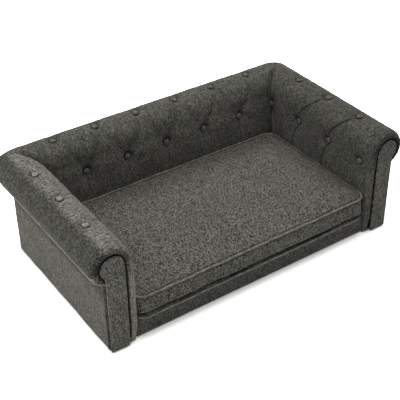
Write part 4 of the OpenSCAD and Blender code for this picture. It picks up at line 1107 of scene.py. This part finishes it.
def cushion_mesh():
    """Boxed cushion, filled out by pressure between its seams and given its tucks, puckers and dents."""
    form = cushion_form()
    x, y, z = places(form).T
    gap = side_gap(x, y)
    held = z < CUSHION_LOW_Z + 2 * MM
    for seam in (LOW_WELT_Z, TOP_WELT_Z):
        held |= (np.abs(z - seam - 2 * MM) < 6 * MM) & (gap < 16 * MM)
    cap = np.where(z > TOP_WELT_Z + 1 * MM, 2 * MM + 4 * MM * clamp(gap / 0.12), 1.5 * MM)
    swell(form, held, CUSHION_PRESSURE, cap, 0.012)
    refine(form)
    x, y, z = places(form).T
    gap = side_gap(x, y)
    top = clamp((z - TOP_WELT_Z - 2 * MM) / (4 * MM))
    along = x + y
    pucker = 0.45 * MM * hump(gap - 12 * MM, 9 * MM) * gathers(along, 15 * MM, 2.0, 80 * MM, 31)
    dents = 0.8 * MM * ripple(x, y, 0.16, 33) + 0.35 * MM * ripple(x, y, 0.06, 34)
    sides = 0.5 * MM * ripple(along, z, 60 * MM, 35) * (1 - top)
    lift = (pucker + dents * clamp(gap / 0.03)) * top + sides
    # The boxing is drawn in under the top welt and tucked in deeply over the bottom one
    on_side = clamp((20 * MM - gap) / (6 * MM)) * (1 - top)
    wave = 1.6 * MM * ripple(along, 0, 150 * MM, 36)
    tuck = hump(np.abs(z - LOW_WELT_Z - 7.5 * MM - wave), 5.5 * MM, 3)
    under = hump(z - TOP_WELT_Z + 4 * MM, 4 * MM)
    rim = hump(gap - 10 * MM, 3.6 * MM) * top
    lift -= on_side * (11 * MM * tuck + 3 * MM * under) + 2.2 * MM * rim
    sewn, seam_dark = sewn_to_welts(places(form) + normals(form) * lift[:, None])
    set_places(form, sewn)
    box_weave(form)
    # Shade in the grooves beside the welts and along the arms
    low_band = hump(z - LOW_WELT_Z - 6.5 * MM - wave, 5 * MM, 4) * on_side
    high_band = hump(z - TOP_WELT_Z + 6 * MM, 2.6 * MM) * on_side
    by_arm = hump(CUSHION_W - np.abs(x), 18 * MM) * top
    shade = low_band + 0.65 * high_band + 0.7 * rim + 0.3 * by_arm
    attribute(form, "shade", clamp(np.maximum(shade, seam_dark)))
    return form


def dress(piece, material, *stands_for, slot="sofa_fabric", body="root", fill=None):
    """Gives a piece its cloth and the body it moves with, and hides the CAD nodes that it stands for. slot is
    not used.
    """
    piece.data.materials.clear()
    piece.data.materials.append(material)
    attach(piece, body)
    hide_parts(*stands_for)


# Camera, light and floor
MIDDLE = (0, 0, 0.15)
# (name, place, size, power)
LAMPS = (("key", (1.5, 1.8, 2.6), 1.4, 24), ("top", (0, 0, 3.5), 1.6, 32),
         ("rear_left", (-2.2, 1.5, 2.4), 1.4, 14), ("low_left", (-2.6, 0, 0.25), 0.5, 11),
         ("low_front", (-2.4, -2.0, 0.5), 0.8, 10), ("low_right", (2.2, -2.2, 0.8), 0.8, 4))
WORLD_LIGHT = 0.2
FLOOR_GAIN = 3


def placed(name, data, spot, way, roll=0.0):
    """An object at a spot that looks along the way."""
    thing = bpy.data.objects.new(name, data)
    bpy.context.scene.collection.objects.link(thing)
    thing.location = spot
    thing.rotation_mode = "QUATERNION"
    thing.rotation_quaternion = way.to_track_quat("-Z", "Y") @ Euler((0, 0, roll)).to_quaternion()
    return thing


def make_camera():
    """The camera as solved from the photo's straight edges."""
    yaw, pitch, roll = (math.radians(a) for a in (35.11, 34.49, -0.15))
    ahead = Vector((math.sin(yaw) * math.cos(pitch), math.cos(yaw) * math.cos(pitch), -math.sin(pitch)))
    data = bpy.data.cameras.new("camera")
    data.sensor_width = 36
    data.lens = 84.75
    data.shift_x, data.shift_y = -0.0303, -0.0397
    data.clip_end = 50
    bpy.context.scene.camera = placed("camera", data, (-1.2318, -1.8136, 1.6771), ahead, roll)


def make_lamps():
    for name, spot, size, power in LAMPS:
        data = bpy.data.lights.new(name, "AREA")
        data.shape = "DISK"
        data.size = size
        data.energy = power
        placed(name, data, spot, Vector(MIDDLE) - Vector(spot))


def make_world():
    """Dim even light, with a plain backdrop for the camera."""
    n = Nodes(bpy.data.worlds.new("studio"))
    dim = n.tree.nodes["Background"]
    n.feed(dim, {"Color": (1, 1, 1, 1), "Strength": WORLD_LIGHT})
    backdrop = n.add("ShaderNodeBackground", {"Strength": 1.0})
    n.shown(dim.outputs[0], backdrop.outputs[0], "World Output")
    bpy.context.scene.world = n.owner


def make_floor():
    half = 6.0
    floor = mesh_piece("floor", [(-half, -half, 0), (half, -half, 0), (half, half, 0), (-half, half, 0)],
                       [(0, 1, 2, 3)])
    n = material_nodes("floor_white")
    white = n.surface({"Base Color": (0.8, 0.8, 0.8, 1), "Roughness": 1.0, "Specular IOR Level": 0.0})
    # Seen straight, the lit floor is burnt out to white and only the contact shadow is left
    matt = seen = n.tree.nodes["Principled BSDF"].outputs[0]
    for _ in range(FLOOR_GAIN):
        more = n.add("ShaderNodeBsdfDiffuse", {"Color": (1, 1, 1, 1)})
        seen = n.add("ShaderNodeAddShader", {0: seen, 1: more.outputs[0]}).outputs[0]
    n.shown(matt, seen, "Material Output")
    floor.data.materials.append(white)


make_camera()
make_world()
make_floor()
make_lamps()
bpy.context.scene.view_settings.view_transform = "Standard"

# The cloths' levels differ piece by piece as painted light and shade: lighter where more light falls, darker
# on the right arm
sofa_cloth = fabric("sofa_cloth", 0.95, 1.4)
back_cloth = fabric("back_cloth", 1.06, 1.2)
left_cloth = fabric("left_cloth", 1.08, 1.5, painted_light=(0.58, 1.6))
right_cloth = fabric("right_cloth", 0.95, 1.3)
panel_cloth = fabric("panel_cloth", 1.1, 1.3)
# Painted light: a lighter copy of the panel cloth for the left arm's panel
left_panel_lit_cloth = fabric("left_panel_lit_cloth", 1.18, 1.3)
cushion_cloth = fabric("cushion_cloth", 1.03, 4.0, yarn=1.2 * MM, run=3.6 * MM, sway=0.6 * MM)
# Painted light: the welts and the buttons are lighter copies of the cloth, as if more light fell on them
welt_lit_cloth = fabric("welt_lit_cloth", 1.45)
button_lit_cloth = fabric("button_lit_cloth", 1.22)
left_button_lit_cloth = fabric("left_button_lit_cloth", 1.8)
NODE_MATERIALS = {
    "timber": wood("timber", (0.56, 0.39, 0.22)),
    "plywood": wood("plywood", (0.62, 0.45, 0.27), stretch=(1, 1, 14)),
    "metal": metal("zinc", (0.62, 0.62, 0.63), 0.35),
    "sofa_fabric": sofa_cloth,
    "cushion_fabric": cushion_cloth,
    "foam": plain("foam", (0.80, 0.72, 0.52), 0.95, 500, 0.5),
    "zip_tape": plain("zip_tape", (0.03, 0.03, 0.028), 0.9, 900, 0.3),
    "twine": plain("twine", (0.60, 0.54, 0.42), 0.9, 1500, 0.2),
    "glide_plastic": plain("glide_plastic", (0.02, 0.02, 0.02), 0.5, 300, 0.1),
    "dust_cloth": plain("dust_cloth", (0.03, 0.03, 0.03), 0.95, 700, 0.3),
}
for part in frame["record"]["subparts"]:
    for holder in frame["nodes"][part["node"]].material_slots:
        holder.material = NODE_MATERIALS[part["material_slot"]]

UP = (0, 0, 1)
# side, name, cloths of pad, buttons and panel, depth of crown pleats, painted highlight on its strip's edge
# and face
ARMS = ((-1, "left", left_cloth, left_button_lit_cloth, left_panel_lit_cloth, 0.6, 0.4, 0.25),
        (1, "right", right_cloth, button_lit_cloth, panel_cloth, 1, 0.12, 0))
for side, word, cloth, of_buttons, of_panel, pleats, painted_highlight, painted_face_light in ARMS:
    pad = upholstered(word + "_arm_cover", arm_sheet(side), arm_folds(pleats), ARM_LOW, ARM_CROWN, 11 + side,
                      arm_corner_at, gathered=True, lit=-side)
    along, v = weave_of(pad).T
    # Painted highlight along the strip's edge and over its face
    beside = along - BEAD_Y
    edge = painted_highlight * hump(beside + 15 * MM, 5 * MM) + painted_face_light * clamp(-beside / (4 * MM))
    attribute(pad, "painted_highlight", edge * clamp(-v / (40 * MM)))
    # Painted light and shade over the roll: lit on its inner side and along its lower limb, in shade on its
    # outer side
    attribute(pad, "painted_light", np.interp(v - CROWN_V, np.array([8, 34, 95, 105]) * MM, [1, 0, 0, 1]))
    dress(pad, cloth, word + "_arm_pad", fill=0.8)
    low_spots = [(side * (FACE_X + TUFT_SINK), y, BUTTON_Z) for y in ARM_LOW]
    crown_spots = [(side * (WALL_X - ROLL_INSET), y, TOP_Z - CROWN_SINK) for y in ARM_CROWN]
    buttons = button_row(low_spots, (-side, 0, 0), 40 + side, 0) + button_row(crown_spots, UP, 60 + side, 9)
    dress(button_mesh(word + "_arm_buttons_covered", buttons), of_buttons, word + "_arm_buttons")
    dress(front_panel_mesh(word + "_panel_cover", side), of_panel, word + "_front_panel")
    path = [(WALL_X - depth, PAD_FRONT_Y + SEAT_GAP + run) for run, depth in edge_turn(4 * MM)[:-1]]
    path += [(WALL_X, y) for y in np.linspace(PAD_FRONT_Y + 4 * MM, WALL_Y - WALL_ROUND, 80)]
    wall = wall_sheet(word + "_wall_cover", [(side * x, y, side, 0) for x, y in path], 50 + side)
    dress(wall, panel_cloth, word + "_outer_panel")

pad = upholstered("back_cover", back_sheet(), back_folds(), BACK_LOW, BACK_CROWN, 5, back_corner_at)
dress(pad, back_cloth, "back_pad", fill=0.8)
low_spots = [(x, FACE_Y + TUFT_SINK, BUTTON_Z) for x in BACK_LOW]
crown_spots = [(x, WALL_Y - ROLL_INSET, TOP_Z - CROWN_SINK - 1.2 * MM) for x in BACK_CROWN]
buttons = button_row(low_spots, (0, -1, 0), 80, 20) + button_row(crown_spots, UP, 90, 30)
dress(button_mesh("back_buttons_covered", buttons), button_lit_cloth, "back_buttons")

# The inner corners' buttons stand further out, where the crease is wide enough for them
reach = CORNER_SINK - 4 * MM
buttons = []
for side in (-1, 1):
    spot = (side * (FACE_X + reach), FACE_Y + reach, BUTTON_Z)
    buttons.append((button_place(spot, (-side, -1, 0), 98 + side), 40 + side))
dress(button_mesh("corner_buttons_covered", buttons), back_cloth, "corner_buttons")

turn_x, turn_y = WALL_X - WALL_ROUND, WALL_Y - WALL_ROUND
turns = [(math.cos(q), math.sin(q)) for q in np.linspace(0, math.pi / 2, 9)]
path = [(turn_x + WALL_ROUND * c, turn_y + WALL_ROUND * s, c, s) for c, s in turns]
path += [(x, WALL_Y, 0, 1) for x in np.linspace(turn_x, -turn_x, 150)[1:-1]]
path += [(-turn_x - WALL_ROUND * s, turn_y + WALL_ROUND * c, -s, c) for c, s in turns]
dress(wall_sheet("rear_wall_cover", path, 55), panel_cloth, "rear_outer_panel")

dress(soft_box("rail_cover", *rail_box, 6 * MM, 5 * MM), sofa_cloth, "front_rail_cover")

dress(cushion_mesh(), cushion_cloth, "cushion_cover", slot="cushion_fabric", body="cushion", fill=0.85)
for name, z in (("cushion_top_welt", TOP_WELT_Z), ("cushion_bottom_welt", BOTTOM_CORD_Z)):
    cord = welt_mesh(name + "_cord", z)
    x, y, _ = places(cord).T
    # Along the arms the cord lies in their shade
    beside_arm = clamp((np.abs(x) - CUSHION_W + 14 * MM) / (6 * MM))
    attribute(cord, "shade", 0.5 * beside_arm * clamp((y - welt_box[0][1] - 15 * MM) / (25 * MM)))
    dress(cord, welt_lit_cloth, name, slot="cushion_fabric", body="cushion")
